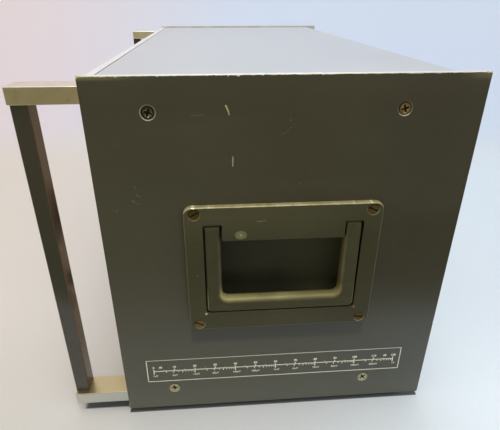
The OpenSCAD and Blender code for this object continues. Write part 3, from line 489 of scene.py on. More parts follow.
def arm_metal():
    """Satin plate on the guard arms, brushed lengthwise, with bright polished edges painted whiter as a highlight, a
    faint yellow tarnish, painted highlights on the upward faces and painted reflections on the lower arms.
    """
    m = Mat("guard_arm_satin")
    col = m.mix(m.span(m.noise(38.0, 5, 0.6, bend=0.4), 0.32, 0.7), lin(213, 210, 181), lin(227, 224, 199))
    col = m.mix(m.span(m.noise(110.0, 4), 0.55, 0.8, 0.0, 0.35), col, lin(176, 164, 132))
    lines = m.noise(1.0, 3, vec=m.scaled(2600.0, 40.0, 2600.0))
    # bright polished edges, painted whiter as a highlight
    edge = m.math("ADD", m.edge(0.0011, 2.2), m.math("MULTIPLY", m.math("SUBTRACT", m.noise(160.0, 4), 0.5), 0.35))
    edge = m.span(edge, 0.30, 0.75)
    r = m.satin(m.math("ADD", m.span(m.noise(60.0, 4), 0.3, 0.7, 0.27, 0.38), m.math("MULTIPLY", m.math("SUBTRACT", lines, 0.5), 0.08)))
    # painted highlight on the faces that look upward, strongest on the upper arms
    col = m.mix(m.math("MULTIPLY", m.span(m.normal_part(2), 0.6, 0.95, 0.0, 0.9), m.span(m.z, 0.05, 0.20, 0.15, 1.0)), col, lin(250, 246, 232))
    # the lower arms: painted reflections, greyer on the sides and yellower on top
    low = m.span(m.z, 0.06, 0.03)
    # painted highlight: the left-hand arms are the brighter pair on the side that faces the other guard
    far = m.math("MULTIPLY", m.span(m.normal_part(0), 0.5, 0.9), m.span(m.x, -0.05, -0.15))
    col = m.mix(far, col, lin(254, 250, 224))
    col = m.mix(m.math("MULTIPLY", low, 0.85), col, m.mix(m.span(m.normal_part(2), 0.5, 0.9), lin(204, 208, 204), lin(208, 192, 146)))
    m.set(Base_Color=m.mix(edge, col, lin(240, 236, 222)), Metallic=m.level(edge, 1.0, 0.55), Roughness=m.level(edge, r, 0.34), Normal=m.bump(lines, 0.02, 0.0003))
    return m


def front_paint():
    """Beige-brown enamel on the face of the front panel, rubbed round the edges; the edges are bare satin metal."""
    m = Mat("front_panel_enamel")
    face = m.span(m.normal_part(1), -0.75, -0.97)
    col = m.mix(m.span(m.noise(12.0, 3), 0.3, 0.7), lin(180, 160, 133), lin(187, 168, 141))
    col = m.mix(m.span(m.noise(420.0, 3), 0.4, 0.8, 0.0, 0.06), col, lin(168, 144, 122))
    rub = m.math("ADD", m.edge(0.0010, 2.4), m.math("MULTIPLY", m.math("SUBTRACT", m.noise(180.0, 5), 0.5), 1.2))
    face = m.math("MULTIPLY", face, m.span(rub, 0.95, 0.80))
    lines = m.noise(1.0, 3, vec=m.scaled(40.0, 2600.0, 2600.0))
    bare = m.mix(m.span(m.noise(42.0, 4), 0.3, 0.7), lin(240, 240, 236), lin(247, 247, 244))
    r = m.math("ADD", m.span(m.noise(8.0, 3), 0.3, 0.7, 0.36, 0.44), m.math("MULTIPLY", m.math("SUBTRACT", lines, 0.5), 0.06))
    m.set(Base_Color=m.mix(face, bare, col), Metallic=m.level(face, 0.6, 0.0), Roughness=r)
    hgt = m.math("ADD", m.math("MULTIPLY", m.noise(620.0, 2), 0.6), m.math("MULTIPLY", lines, 0.4))
    m.set(Normal=m.bump(hgt, 0.03, 0.0004))
    return m


M = {
    "side": side_paint(),
    "plate": handle_paint("handle_plate_enamel", lin(57, 56, 33), lin(62, 61, 37), True),
    "bail": handle_paint("bail_enamel", lin(57, 55, 32), lin(62, 60, 36), False),
    "pan": paint("recess_enamel", lin(61, 61, 45), lin(68, 68, 51), 0.45, 0.01, 0.05, foot_band=(0.098, 0.110, 0.6, lin(40, 40, 29))),
    "cover": cover_paint(),
    "front": front_paint(),
    "arm": arm_metal(),
    # guard bar: paler towards the foot as a painted floor reflection, and brown on the inner face as a painted
    # reflection of the front panel
    "bar": paint("guard_bar_enamel", lin(44, 42, 31), lin(50, 48, 36), 0.18, 0.02, 0.02, edge_wear=0.25, metal=lin(150, 140, 112), spec=0.8, foot_band=(0.02, 0.17, 0.07, lin(100, 100, 90)), inner=lin(98, 76, 56)),
    "steel": metal("plain_steel", lin(176, 176, 174), lin(150, 150, 148), 0.32, brush=0.08),
    "blued": metal("blued_steel", lin(62, 61, 58), lin(46, 45, 43), 0.38, brush=0.06),
    "alu": metal("chassis_metal", lin(186, 187, 186), lin(206, 207, 206), 0.42, brush=0.06),
    "nickel": metal("bright_nickel", lin(200, 194, 180), lin(176, 170, 156), 0.22, brush=0.05),
    "rubber": plastic("black_rubber", lin(26, 26, 26), lin(36, 36, 35), 0.75, 0.2, 0.3),
    "black": plastic("black_moulding", lin(24, 24, 23), lin(33, 33, 31), 0.34, 0.06),
    "white": plastic("scale_card", lin(226, 223, 208), lin(234, 231, 218), 0.6, 0.03, 0.3),
    "red": plastic("pointer_red", lin(176, 36, 24), lin(150, 28, 18), 0.4, 0.03),
    "board": plastic("circuit_board", lin(120, 92, 46), lin(100, 76, 38), 0.45, 0.1),
    "laminate": plastic("switch_laminate", lin(150, 116, 66), lin(126, 96, 52), 0.5, 0.1),
    "iron": plastic("transformer_iron", lin(62, 54, 46), lin(82, 72, 60), 0.5, 0.15),
    "scale_ink": ink("panel_print", lin(232, 230, 204), lin(170, 167, 140), 0.30),
    "dark_ink": ink("dark_print", lin(30, 31, 32), lin(80, 80, 78), 0.2),
    "white_ink": ink("index_paint", lin(226, 224, 214), lin(170, 168, 160), 0.3),
}


# painted shade makes the recess dimmer under the plate's upper bar, and painted light makes it paler towards the rear
m = M["pan"]
m.b.inputs["Specular IOR Level"].default_value = 0.15
plain = m.b.inputs["Base Color"].links[0].from_socket
plain = m.mix(m.span(m.z, 0.132, 0.160, 0.0, 0.75), plain, lin(40, 40, 28))
m.set(Base_Color=m.mix(m.span(m.y, 0.015, 0.065, 0.0, 0.75), plain, lin(86, 86, 62)))


def screw_metal(name, pale, dark, deep_mask_at, spots, warm=None, worn_cross=False):
    """Plated screw metal, darkened in the deep places of the recess, which the given mask function picks."""
    m = Mat(name)
    col = m.mix(m.span(m.noise(90.0, 4), 0.3, 0.7), pale, dark)
    if warm is not None:
        place = m.math("MULTIPLY", m.span(m.y, 0.02, 0.07), m.span(m.z, 0.15, 0.20))
        col = m.mix(place, col, warm)
    col = m.mix(m.span(m.noise(700.0, 4), 0.55, 0.75, 0.0, 0.5), col, (dark[0] * 0.35, dark[1] * 0.33, dark[2] * 0.3, 1))
    heads = m.most(*[m.near(y, z, 3.35, 0.05) for y, z in spots])
    whole = m.most(*[m.near(y, z, 4.4, 0.02) for y, z in spots])
    lips = m.most(*[m.math("SUBTRACT", m.near(y, z, 4.2, 0.02), m.near(y - 0.12, z + 0.32, 3.98, 0.02), clamp=True) for y, z in spots])
    # painted shade in the countersink round the head, except at the lower lip
    ring = m.math("SUBTRACT", whole, m.most(heads, lips), clamp=True)
    col = m.mix(m.math("MULTIPLY", ring, 0.85), col, lin(44, 38, 26))
    if worn_cross:
        # the upper front screw is tarnished dark; pressed-up metal round the recess, painted bright as a highlight, and
        # a painted glint below it
        dull = m.math("MULTIPLY", m.span(m.y, 0.02, -0.03), m.span(m.z, 0.15, 0.20))
        col = m.mix(m.math("MULTIPLY", dull, 0.9), col, lin(66, 56, 43))
        col = m.mix(m.span(m.z, 0.06, 0.04, 0.0, 0.5), col, lin(210, 208, 160))
        round_cross = m.most(*[m.math("SUBTRACT", m.near(y, z, 2.6, 0.15, 1200.0), m.near(y, z, 1.2, 0.1), clamp=True) for y, z in spots])
        col = m.mix(m.math("MULTIPLY", round_cross, m.span(m.noise(620.0, 3), 0.42, 0.62, 0.10, 0.75)), col, lin(196, 184, 142))
        col = m.mix(m.most(*[m.near(y + 0.1, z - 2.45, 0.5, 0.2) for y, z in spots]), col, lin(250, 246, 230))
    else:
        # painted highlight on the lower lips
        col = m.mix(m.math("MULTIPLY", lips, 0.6), col, lin(226, 216, 172))
    deep = deep_mask_at(m)
    col = m.mix(deep, col, lin(22, 19, 14))
    r = m.span(m.noise(300.0, 4), 0.3, 0.7, 0.29, 0.44)
    m.set(Base_Color=col, Metallic=m.level(deep, 0.9, 0.0), Roughness=m.level(deep, r, 0.8), Normal=m.bump(m.noise(1800.0, 3), 0.10, 0.0002))
    return m


def case_grime(m):
    ax = m.math("ABSOLUTE", m.x)
    mid = m.math("MULTIPLY", m.math("GREATER_THAN", m.y, -0.07), m.math("LESS_THAN", m.y, 0.10))
    side = m.math("MULTIPLY", mid, m.math("LESS_THAN", ax, 0.23445))
    front = m.math("MULTIPLY", m.math("LESS_THAN", m.y, -0.07), m.math("GREATER_THAN", m.y, -0.09395))
    rear = m.math("MULTIPLY", m.math("GREATER_THAN", m.y, 0.10), m.math("LESS_THAN", m.y, 0.12095))
    return m.most(side, front, rear)


def handle_grime(m):
    return m.math("LESS_THAN", m.math("ABSOLUTE", m.x), 0.2385)


M["zinc"] = screw_metal("yellow_zinc", lin(158, 144, 98), lin(124, 108, 72), case_grime,
                        [(y, z) for y in (-59.0, 87.4) for z in (23.0, 233.0)], lin(150, 126, 84), True)
M["brass"] = screw_metal("aged_brass", lin(124, 106, 66), lin(94, 80, 48), handle_grime,
                         [(HY + i * 56.3, HZ + j * 42.2) for i in (-1, 1) for j in (-1, 1)])


def clear_plastic():
    m = Mat("clear_window")
    m.set(Base_Color=m.mix(m.span(m.noise(60.0, 3), 0.3, 0.7), (0.96, 0.97, 0.97, 1), (0.92, 0.94, 0.93, 1)), IOR=1.49)
    m.b.inputs["Transmission Weight"].default_value = 1.0
    m.set(Roughness=m.span(m.noise(90.0, 5), 0.45, 0.8, 0.02, 0.14), Normal=m.bump(m.noise(40.0, 2), 0.02, 0.0005))
    return m


def lamp_red():
    m = Mat("lamp_lens")
    m.set(Base_Color=m.mix(m.span(m.noise(200.0, 3), 0.3, 0.7), lin(190, 30, 20), lin(150, 18, 14)), IOR=1.5)
    m.b.inputs["Transmission Weight"].default_value = 0.35
    m.set(Roughness=m.span(m.noise(300.0, 3), 0.3, 0.7, 0.10, 0.22), Normal=m.bump(m.noise(800.0, 2), 0.05, 0.0003))
    return m


M["clear"] = clear_plastic()
M["lamp"] = lamp_red()

# ---------------------------------------------------------------- pieces


def shade(bm, sharp=32.0):
    for f in bm.faces:
        f.smooth = True
    lim = math.radians(sharp)
    for e in bm.edges:
        e.smooth = len(e.link_faces) == 2 and e.calc_face_angle(0.0) < lim


def piece(name, bm, mats, body, nodes=(), sharp=32.0, even=True):
    shade(bm, sharp)
    me = bpy.data.meshes.new(name)
    bm.to_mesh(me)
    bm.free()
    for m in mats:
        me.materials.append(m.mat)
    ob = bpy.data.objects.new(name, me)
    scene.collection.objects.link(ob)
    if even:
        w = ob.modifiers.new("even", "WEIGHTED_NORMAL")
        w.keep_sharp = True
        w.weight = 100
    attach(ob, body)
    if nodes:
        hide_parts(*nodes)
    return ob


def cad_bm(node, flat=0.5):
    bm = bmesh.new()
    bm.from_mesh(N[node].data)
    for name in list(bm.loops.layers.uv.keys()):
        bm.loops.layers.uv.remove(bm.loops.layers.uv[name])
    bmesh.ops.remove_doubles(bm, verts=bm.verts, dist=1e-6)
    bmesh.ops.dissolve_degenerate(bm, edges=bm.edges, dist=1e-7)
    bmesh.ops.dissolve_limit(bm, angle_limit=math.radians(flat), use_dissolve_boundaries=False, verts=bm.verts, edges=bm.edges)
    bmesh.ops.recalc_face_normals(bm, faces=bm.faces)
    for f in bm.faces:
        f.material_index = 0
    return bm


def bevel(bm, pick, width, segs, mark=0.0, corner=50.0):
    lay = bm.faces.layers.float.get("wear") or bm.faces.layers.float.new("wear")
    lim = math.radians(corner)
    edges = [e for e in bm.edges if len(e.link_faces) == 2 and e.calc_face_angle(0.0) > lim and pick(e.verts[0].co / MM, e.verts[1].co / MM)]
    if not edges:
        return 0
    got = bmesh.ops.bevel(bm, geom=edges, offset=width * MM, offset_type="OFFSET", segments=segs, profile=0.5, affect="EDGES", clamp_overlap=True, material=-1)
    lay = bm.faces.layers.float.get("wear")
    for f in got["faces"]:
        f[lay] = mark
    return len(edges)


def same(a, b, v, tol=0.02):
    return abs(a - v) < tol and abs(b - v) < tol


def body_of(node):
    return N[node]["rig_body"]


def copy_of(node, mat, bevels=(), name=None, sharp=32.0, even=True):
    bm = cad_bm(node)
    bm.faces.layers.float.new("wear")
    for pick, width, segs, mark in bevels:
        bevel(bm, pick, width, segs, mark)
    return piece(name or node + "_skin", bm, [M[mat]], body_of(node), [node], sharp, even)


def dress(node, mat):
    ob = N[node]
    ob.data.materials.clear()
    ob.data.materials.append(M[mat].mat)


def anywhere(a, b):
    return True



# covers, front and rear panels
for node in ("top_cover", "bottom_cover"):
    copy_of(node, "cover", [
        (lambda a, b: same(abs(a.z - 128), abs(b.z - 128), 123) and not (a - b).length < 6.5, 0.6, 3, 1.0)])
copy_of("rear_panel", "cover", [])
# side panels, handle plates and bails are built as slabs: outlines in the side plane
# with rounded edges towards the outer and the inner face


def outline(spec, seg=8):
    """Points of a closed outline, and the edge rounding of each of its segments.
    spec has (y, z, corner radius, rounding of the edge that leaves the corner)."""
    pts, ers = [], []
    n = len(spec)
    for i, (y, z, rc, er) in enumerate(spec):
        p0, p1, p2 = Vector(spec[i - 1][:2]), Vector((y, z)), Vector(spec[(i + 1) % n][:2])
        before = spec[i - 1][3]
        if rc <= 0:
            pts.append(p1)
            ers.append(er)
            continue
        e0, e1 = (p1 - p0).normalized(), (p2 - p1).normalized()
        turn = math.atan2(e0.x * e1.y - e0.y * e1.x, e0.dot(e1))
        t = rc * math.tan(abs(turn) / 2)
        a = p1 - e0 * t
        side = 1.0 if turn > 0 else -1.0
        c = a + Vector((-e0.y, e0.x)) * rc * side
        for k in range(seg + 1):
            ang = turn * k / seg
            v = a - c
            pts.append(c + Vector((v.x * math.cos(ang) - v.y * math.sin(ang), v.x * math.sin(ang) + v.y * math.cos(ang))))
            ers.append(er if k == seg else before + (er - before) * (k + 0.5) / seg)
    return pts, ers


def inset(pts, ds):
    """The outline moved to its left by each segment's own distance."""
    out, n = [], len(pts)
    for i in range(n):
        p0, p1, p2 = pts[i - 1], pts[i], pts[(i + 1) % n]
        e0, e1 = (p1 - p0).normalized(), (p2 - p1).normalized()
        n0, n1 = Vector((-e0.y, e0.x)), Vector((-e1.y, e1.x))
        d0, d1 = ds[i - 1], ds[i]
        cr = e0.x * e1.y - e0.y * e1.x
        if abs(cr) < 0.35:
            m = (n0 + n1).normalized()
            out.append(p1 + m * ((d0 + d1) / 2 / max(0.3, m.dot(n0))))
        else:
            w = n1 * d1 - n0 * d0
            out.append(p1 + n0 * d0 + e0 * ((w.x * e1.y - w.y * e1.x) / cr))
    return out


def edge_rings(pts, er, x0, x1, segs=6, back=0.0):
    """Rings of points from the inner face at x0 to the outer face at x1."""
    n = len(pts)
    mean = [(er[i - 1] + er[i]) / 2 if abs(er[i - 1] - er[i]) < 3 else max(er[i - 1], er[i]) for i in range(n)]
    rings = []
    if back > 0:
        for k in range(segs + 1):
            c, s = math.sin(math.pi / 2 * k / segs), math.cos(math.pi / 2 * k / segs)
            q = inset(pts, [back * r * (1 - c) for r in er])
            rings.append([(x0 + back * mean[i] * (1 - s), q[i].x, q[i].y) for i in range(n)])
    else:
        rings.append([(x0, p.x, p.y) for p in pts])
    if max(er) > 0:
        for k in range(segs + 1):
            c, s = math.cos(math.pi / 2 * k / segs), math.sin(math.pi / 2 * k / segs)
            q = inset(pts, [r * (1 - c) for r in er])
            rings.append([(x1 - mean[i] * (1 - s), q[i].x, q[i].y) for i in range(n)])
    else:
        rings.append([(x1, p.x, p.y) for p in pts])
    return rings


def round_hole(y, z, x0, x1, r, sunk=None, n=40):
    """Rings of a plain or countersunk hole, run clockwise."""
    def circle(x, rad):
        return [(x, y + rad * math.cos(-2 * math.pi * k / n), z + rad * math.sin(-2 * math.pi * k / n)) for k in range(n)]
    if sunk is None:
        return [circle(x0, r), circle(x1, r)]
    top, depth = sunk
    return [circle(x0, r), circle(x1 - depth, r), circle(x1, top)]


def inside(p, loop):
    hit, n = False, len(loop)
    for i in range(n):
        (ay, az), (by, bz) = loop[i - 1], loop[i]
        if (az > p[1]) != (bz > p[1]) and p[0] < (by - ay) * (p[1] - az) / (bz - az) + ay:
            hit = not hit
    return hit


def slab(bm, loops, place, worn=1):
    """Closed slab from ring sets; the first is the outline and the others are holes. place turns (depth, u, v) into a point."""
    lay = bm.faces.layers.float.get("wear") or bm.faces.layers.float.new("wear")
    made = []
    for j, rings in enumerate(loops):
        vs = [[bm.verts.new(Vector(place(q)) * MM) for q in ring] for ring in rings]
        n = len(rings[0])
        for k in range(len(rings) - 1):
            for i in range(n):
                m = (i + 1) % n
                f = bm.faces.new((vs[k][i], vs[k][m], vs[k + 1][m], vs[k + 1][i]))
                f[lay] = 1.0 if k > 0 and j < worn else 0.0
        made.append(vs)
    for end in (0, -1):
        flat, verts, edges, polys = [], [], [], []
        for rings, vs in zip(loops, made):
            base = len(flat)
            ring = rings[end]
            flat += [Vector((q[1], q[2])) for q in ring]
            verts += vs[end]
            edges += [(base + i, base + (i + 1) % len(ring)) for i in range(len(ring))]
            polys.append([(q[1], q[2]) for q in ring])
        got = geometry.delaunay_2d_cdt(flat, edges, [], 1, 1e-6)
        for tri in got[2]:
            c = sum((got[0][i] for i in tri), Vector((0, 0))) / 3
            if not inside(c, polys[0]) or any(inside(c, h) for h in polys[1:]):
                continue
            bm.faces.new([verts[got[3][i][0]] for i in tri])
    bmesh.ops.remove_doubles(bm, verts=bm.verts, dist=2e-6)
    bmesh.ops.recalc_face_normals(bm, faces=bm.faces)
    return bm


def cuboid(bm, lo, hi):
    got = bmesh.ops.create_cube(bm, size=1.0)
    for v in got["verts"]:
        v.co = Vector([((lo[k] + hi[k]) / 2 + v.co[k] * (hi[k] - lo[k])) * MM for k in range(3)])


def rect(y0, z0, y1, z1, rc, er):
    return [(y0, z0, rc, er), (y1, z0, rc, er), (y1, z1, rc, er), (y0, z1, rc, er)]


def facing(side):
    return lambda q: (side * q[0], q[1], q[2])


def front_plate():
    loops = [edge_rings(*outline(rect(-231.5, 5, 231.5, 251, 0, 0.3)), 89.5, 94.5, 3)]
    arc = [(66.0, a) for a in range(-50, 51, 2)] + [(42.0, a) for a in range(50, -51, -2)]
    spec = [(25 + r * math.sin(math.radians(a * 50.7 / 50)), 152 + r * math.cos(math.radians(a * 50.7 / 50)), 0, 0.5) for r, a in arc]
    loops.append(edge_rings(*outline(spec), 89.5, 94.5, 3))
    for u in (-227.0, 227.0):
        for v in (25.0, 231.0):
            loops.append(round_hole(u, v, 89.5, 94.5, 2.15, (4.08, 1.93)))
    for u in (-222.75, 222.75):
        for v in (12.8, 242.3):
            loops.append(round_hole(u, v, 89.5, 94.5, 2.2, n=24))
    for u, v, r, n in ((-145, 166, 36.6, 72), (25, 76.7, 3.06, 24), (138, 132, 4.8, 28), (180, 132, 4.8, 28), (145, 68, 3.8, 24), (-198, 76, 6.1, 32),
                       (-165, 76, 5.1, 28), (180, 68, 8.1, 36), (-105, 76, 5.1, 28)):
        loops.append(round_hole(u, v, 89.5, 94.5, r, n=n))
    return slab(bmesh.new(), loops, lambda q: (q[1], -q[0], q[2]))


def panel(side):
    loops = [edge_rings(*outline(rect(-95, 3, 135, 253, 0, 0.55)), 232, 235, 3)]
    pts, er = outline(rect(HY - 52, HZ + 1 - 35, HY + 52, HZ + 1 + 35, 4, 0.0)[::-1])
    loops.append(edge_rings(pts, er, 232, 235))
    for y in (-59.0, 87.4):
        for z in (23.0, 233.0):
            loops.append(round_hole(y, z, 232, 235, 2.15, (4.5, 2.35)))
    for y in (HY - 56.3, HY + 56.3):
        for z in (HZ - 42.2, HZ + 42.2):
            loops.append(round_hole(y, z, 232, 235, 2.15, n=24))
    return slab(bmesh.new(), loops, facing(side))


def handle_plate(side):
    loops = [edge_rings(*outline(rect(HY - 63, HZ - 47, HY + 63, HZ + 47, 5.5, 0.7), 10), 235, 239, 4)]
    w, t = 51.1, 39.4
    spec = [(-w, -33, 3, 0.5), (-w, 34.4, 1.4, 0.5), (-t, 34.4, 0.0, 0.5), (-t, 22.9, 1.5, 0.9), (t, 22.9, 1.5, 0.5), (t, 34.4, 0.0, 0.5),
            (w, 34.4, 1.4, 0.5), (w, -33, 3, 1.6)]
    pts, er = outline([(HY + a, HZ + b, c, d) for a, b, c, d in spec], 6)
    loops.append(edge_rings(pts, er, 235, 239, 4))
    for y in (HY - 56.3, HY + 56.3):
        for z in (HZ - 42.2, HZ + 42.2):
            loops.append(round_hole(y, z, 235, 239, 2.15, (3.96, 1.81)))
    bm = slab(bmesh.new(), loops, facing(side))
    for y in (HY - 33.5, HY + 33.5):
        x = sorted((side * (HINGE_X - 5), side * 235.0))
        cuboid(bm, (x[0], y - 5.5, HINGE_Z - 4.5), (x[1], y + 5.5, HINGE_Z + 4.5))
    return bm


def bail(side):
    o, i, top, low, grip = 50.4, 40.1, HINGE_Z + 5.2, 96.45, 105.95
    out, arm, end, inner = 0.9, 3.6, 5.15, 5.15
    spec = [(-o, low, 3, out), (o, low, 3, out), (o, top, 0, end), (i, top, 0, arm), (i, grip, 4, inner), (-i, grip, 4, arm), (-i, top, 0, end), (-o, top, 0, out)]
    pts, er = outline([(HY + a, b, c, d) for a, b, c, d in spec], 8)
    return slab(bmesh.new(), [edge_rings(pts, er, 228.3, 238.7, 8, back=1.0)], facing(side))


piece("front_panel_skin", front_plate(), [M["front"]], "case", ["front_panel"])
for s, side in ((1, "right"), (-1, "left")):
    piece(side + "_side_panel_skin", panel(s), [M["side"]], "case", [side + "_side_panel"])
    piece(side + "_handle_plate_skin", handle_plate(s), [M["plate"]], "case", [side + "_handle_plate"])
    copy_of(side + "_handle_pan", "pan", [])
    piece(side + "_bail_skin", bail(s), [M["bail"]], side + "_bail", [side + "_bail"])
copy_of("hinge_rods", "blued", [])
copy_of("handle_plate_screws", "brass", [
    (lambda a, b: abs(a.x) > 237 and abs(b.x) > 237 and abs(a.x - b.x) < 0.02 and abs(abs(a.x) - 238.9) < 0.05, 0.15, 2, 1.0)])
copy_of("case_screws", "zinc", [
    (lambda a, b: same(abs(a.x), abs(b.x), 234.9), 0.14, 2, 1.0)])
dress("handle_plate_nuts", "steel")

# guard handles
for side in ("right", "left"):
    for level in ("upper", "lower"):
        copy_of(f"{side}_{level}_arm", "arm", [
            (lambda a, b: (same(abs(a.x), abs(b.x), 231.5) or same(abs(a.x), abs(b.x), 214)) or same(a.y, b.y, -135), 0.7, 3, 1.0)])
    copy_of(f"{side}_guard_bar", "bar", [
        (lambda a, b: abs(a.z - b.z) > 100 and (abs(abs(a.x) - 215) < 0.05 or abs(abs(a.x) - 228) < 0.05), 0.9, 3, 1.0)])
dress("guard_screws", "steel")

# feet
copy_of("rubber_feet", "rubber", [(lambda a, b: same(a.z, b.z, 0.0), 0.7, 3, 0.0)])
dress("foot_screws", "steel")

# front controls


def front_rings(y_list):
    return lambda a, b: any(same(a.y, b.y, v) for v in y_list)


copy_of("meter_case", "black", [(lambda a, b: same(a.y, b.y, -103.5), 0.8, 3, 0.0)])
copy_of("meter_scale", "white", [])
copy_of("meter_window", "clear", [])
dress("meter_movement", "steel")
copy_of("meter_pointer", "red", [])
copy_of("tuning_knob", "black", [(front_rings([-120.0, -99.0]), 0.5, 3, 0.0)])
copy_of("attenuator_knob", "black", [(front_rings([-115.5, -100.5]), 0.4, 3, 0.0)])
copy_of("selector_knob", "black", [(front_rings([-107.5, -100.5]), 0.35, 2, 0.0)])
copy_of("volume_knob", "black", [(front_rings([-112.0, -100.0]), 0.3, 2, 0.0)])
copy_of("dial_disc", "white", [])
copy_of("dial_window", "clear", [])
copy_of("power_switch", "nickel", [(front_rings([-100.5, -96.7]), 0.3, 2, 0.0)])
copy_of("power_lever", "nickel", [], sharp=40.0)
copy_of("pilot_lamp", "lamp", [(front_rings([-103.5, -97.5]), 0.4, 3, 0.0)])
copy_of("rf_input", "nickel", [(front_rings([-108.5, -97.0]), 0.3, 2, 0.0)])
copy_of("phones_jack", "nickel", [(front_rings([-98.5, -96.9]), 0.3, 2, 0.0)])

# inside
for node, mat, slot in (
    ("side_rails", "alu", "satin_aluminium"), ("chassis_deck", "alu", "satin_aluminium"), ("small_screws", "steel", "plain_steel"),
    ("tuning_shaft", "steel", "plain_steel"), ("dial_shaft", "steel", "plain_steel"), ("dial_bracket", "alu", "satin_aluminium"),
    ("bracket_pillars", "alu", "satin_aluminium"), ("tuning_capacitor", "alu", "satin_aluminium"), ("capacitor_rotor", "alu", "satin_aluminium"),
    ("attenuator_shaft", "steel", "plain_steel"), ("attenuator_body", "nickel", "nickel"), ("selector_switch", "laminate", "switch_laminate"),
    ("volume_control", "alu", "satin_aluminium"), ("power_transformer", "iron", "transformer_black"), ("power_board", "board", "circuit_board"),
    ("signal_board", "board", "circuit_board"),
):
    dress(node, mat)

# rear fittings
copy_of("power_inlet", "black", [(front_rings([124.5]), 0.5, 2, 0.0)])
copy_of("fuse_holder", "black", [(front_rings([132.5, 124.5]), 0.5, 2, 0.0)])
copy_of("output_socket", "nickel", [(front_rings([134.0, 123.5]), 0.3, 2, 0.0)])

# ---------------------------------------------------------------- printed marks
SIDE_AXES = (Vector((0, 1, 0)), Vector((0, 0, 1)), Vector((1, 0, 0)))
FRONT_AXES = (Vector((1, 0, 0)), Vector((0, 0, 1)), Vector((0, -1, 0)))
INK = 0.04


class Print:
    """Flat marks on a plane: u to the right, v up, in millimetres on the part."""

    def __init__(self, axes, origin):
        self.bm = bmesh.new()
        u, v, w = axes
        self.m = Matrix(((u.x, v.x, w.x, origin[0] * MM), (u.y, v.y, w.y, origin[1] * MM), (u.z, v.z, w.z, origin[2] * MM), (0, 0, 0, 1)))

    def shape(self, pts):
        lo = [self.bm.verts.new(self.m @ Vector((p[0] * MM, p[1] * MM, 0))) for p in pts]
        hi = [self.bm.verts.new(self.m @ Vector((p[0] * MM, p[1] * MM, INK * MM))) for p in pts]
        self.bm.faces.new(hi)
        self.bm.faces.new(lo[::-1])
        for i in range(len(pts)):
            j = (i + 1) % len(pts)
            self.bm.faces.new((lo[i], lo[j], hi[j], hi[i]))

    def line(self, u0, v0, u1, v1, w):
        d = Vector((u1 - u0, v1 - v0))
        n = Vector((-d.y, d.x)).normalized() * (w / 2)
        self.shape([(u0 - n.x, v0 - n.y), (u1 - n.x, v1 - n.y), (u1 + n.x, v1 + n.y), (u0 + n.x, v0 + n.y)])

    def ray(self, cu, cv, angle, r0, r1, w):
        """A radial mark; the angle runs clockwise from straight up, in degrees."""
        s, c = math.sin(math.radians(angle)), math.cos(math.radians(angle))
        self.line(cu + s * r0, cv + c * r0, cu + s * r1, cv + c * r1, w)

    def arc(self, cu, cv, r, a0, a1, w, steps=48):
        rad = [math.radians(a0 + (a1 - a0) * i / steps) for i in range(steps + 1)]
        for a, b in zip(rad, rad[1:]):
            o, i = r + w / 2, r - w / 2
            self.shape([(cu + math.sin(a) * i, cv + math.cos(a) * i), (cu + math.sin(b) * i, cv + math.cos(b) * i),
                        (cu + math.sin(b) * o, cv + math.cos(b) * o), (cu + math.sin(a) * o, cv + math.cos(a) * o)])

    def dot(self, cu, cv, r, n=20):
        self.shape([(cu + r * math.cos(2 * math.pi * k / n), cv + r * math.sin(2 * math.pi * k / n)) for k in range(n)])

    def text(self, body, u, v, size, angle=0.0, wide=1.0, bold=0.03):
        cu = bpy.data.curves.new("mark", "FONT")
        cu.body = body
        cu.size = size * MM
        cu.align_x, cu.align_y = "CENTER", "CENTER"
        cu.extrude = INK * MM / 2
        cu.offset = bold * MM
        cu.resolution_u = 3
        ob = bpy.data.objects.new("mark", cu)
        scene.collection.objects.link(ob)
        bpy.context.view_layer.update()
        me = bpy.data.meshes.new_from_object(ob.evaluated_get(bpy.context.evaluated_depsgraph_get()))
        place = self.m @ Matrix.Translation((u * MM, v * MM, INK * MM / 2)) @ Matrix.Rotation(math.radians(-angle), 4, "Z") @ Matrix.Diagonal((wide, 1, 1, 1))
        me.transform(place)
        self.bm.from_mesh(me)
        bpy.data.objects.remove(ob)
        bpy.data.curves.remove(cu)
        bpy.data.meshes.remove(me)

    def done(self, name, mat, body):
        bmesh.ops.recalc_face_normals(self.bm, faces=self.bm.faces)
        return piece(name, self.bm, [M[mat]], body, (), sharp=20.0, even=False)


# level scale along the foot of the right-hand side panel
p = Print(SIDE_AXES, (235.0, -95.0, 3.0))
f0, f1, g0, g1 = 17.1, 209.3, 27.5, 48.1
for v, w in ((g0, 0.6), (g1, 0.38)):
    p.line(f0 - 0.3, v, f1 + 0.3, v, w)
for u in (f0, f1):
    p.line(u, g0, u, g1, 0.6)
s0, s1, base = 21.9, 204.0, 37.5
p.line(s0, base, s1, base, 0.7)
for k in range(0, 121, 5):
    u = s0 + (s1 - s0) * k / 120.0
    p.line(u, base, u, base + (1.9 if k % 10 == 0 else 1.1), 0.75 if k % 10 == 0 else 0.5)
    if k % 10 == 0:
        p.text(str(k), u, base + 3.6, 2.6, bold=0.10)
for k, u in ((0, 5.0), (1, -6.6)):
    p.text("dB", (s0, s1)[k] + u, base + 3.6, 2.5, bold=0.08)
for dec in range(6):
    for v in range(1, 10):
        u = s0 + (s1 - s0) * (dec * 20 + 20 * math.log10(v)) / 120.0
        p.line(u, base, u, base - (2.8 if v == 1 else 2.1 if v in (3, 5) else 1.7 if v == 2 else 1.5), 0.8 if v == 1 else 0.6)
p.line(s1, base, s1, base - 2.8, 0.8)
names = ("1µV", "3µV", "10µV", "30µV", "100µV", "300µV", "1mV", "3mV", "10mV", "30mV", "100mV", "300mV", "1V")
for k, name in enumerate(names):
    db = 20.0 * (k // 2) + (20 * math.log10(3) if k % 2 else 0.0)
    p.text(name, s0 + (s1 - s0) * db / 120.0 + 0.9, base - 4.6, 2.3, bold=0.05)
p.done("level_scale_print", "scale_ink", "case")

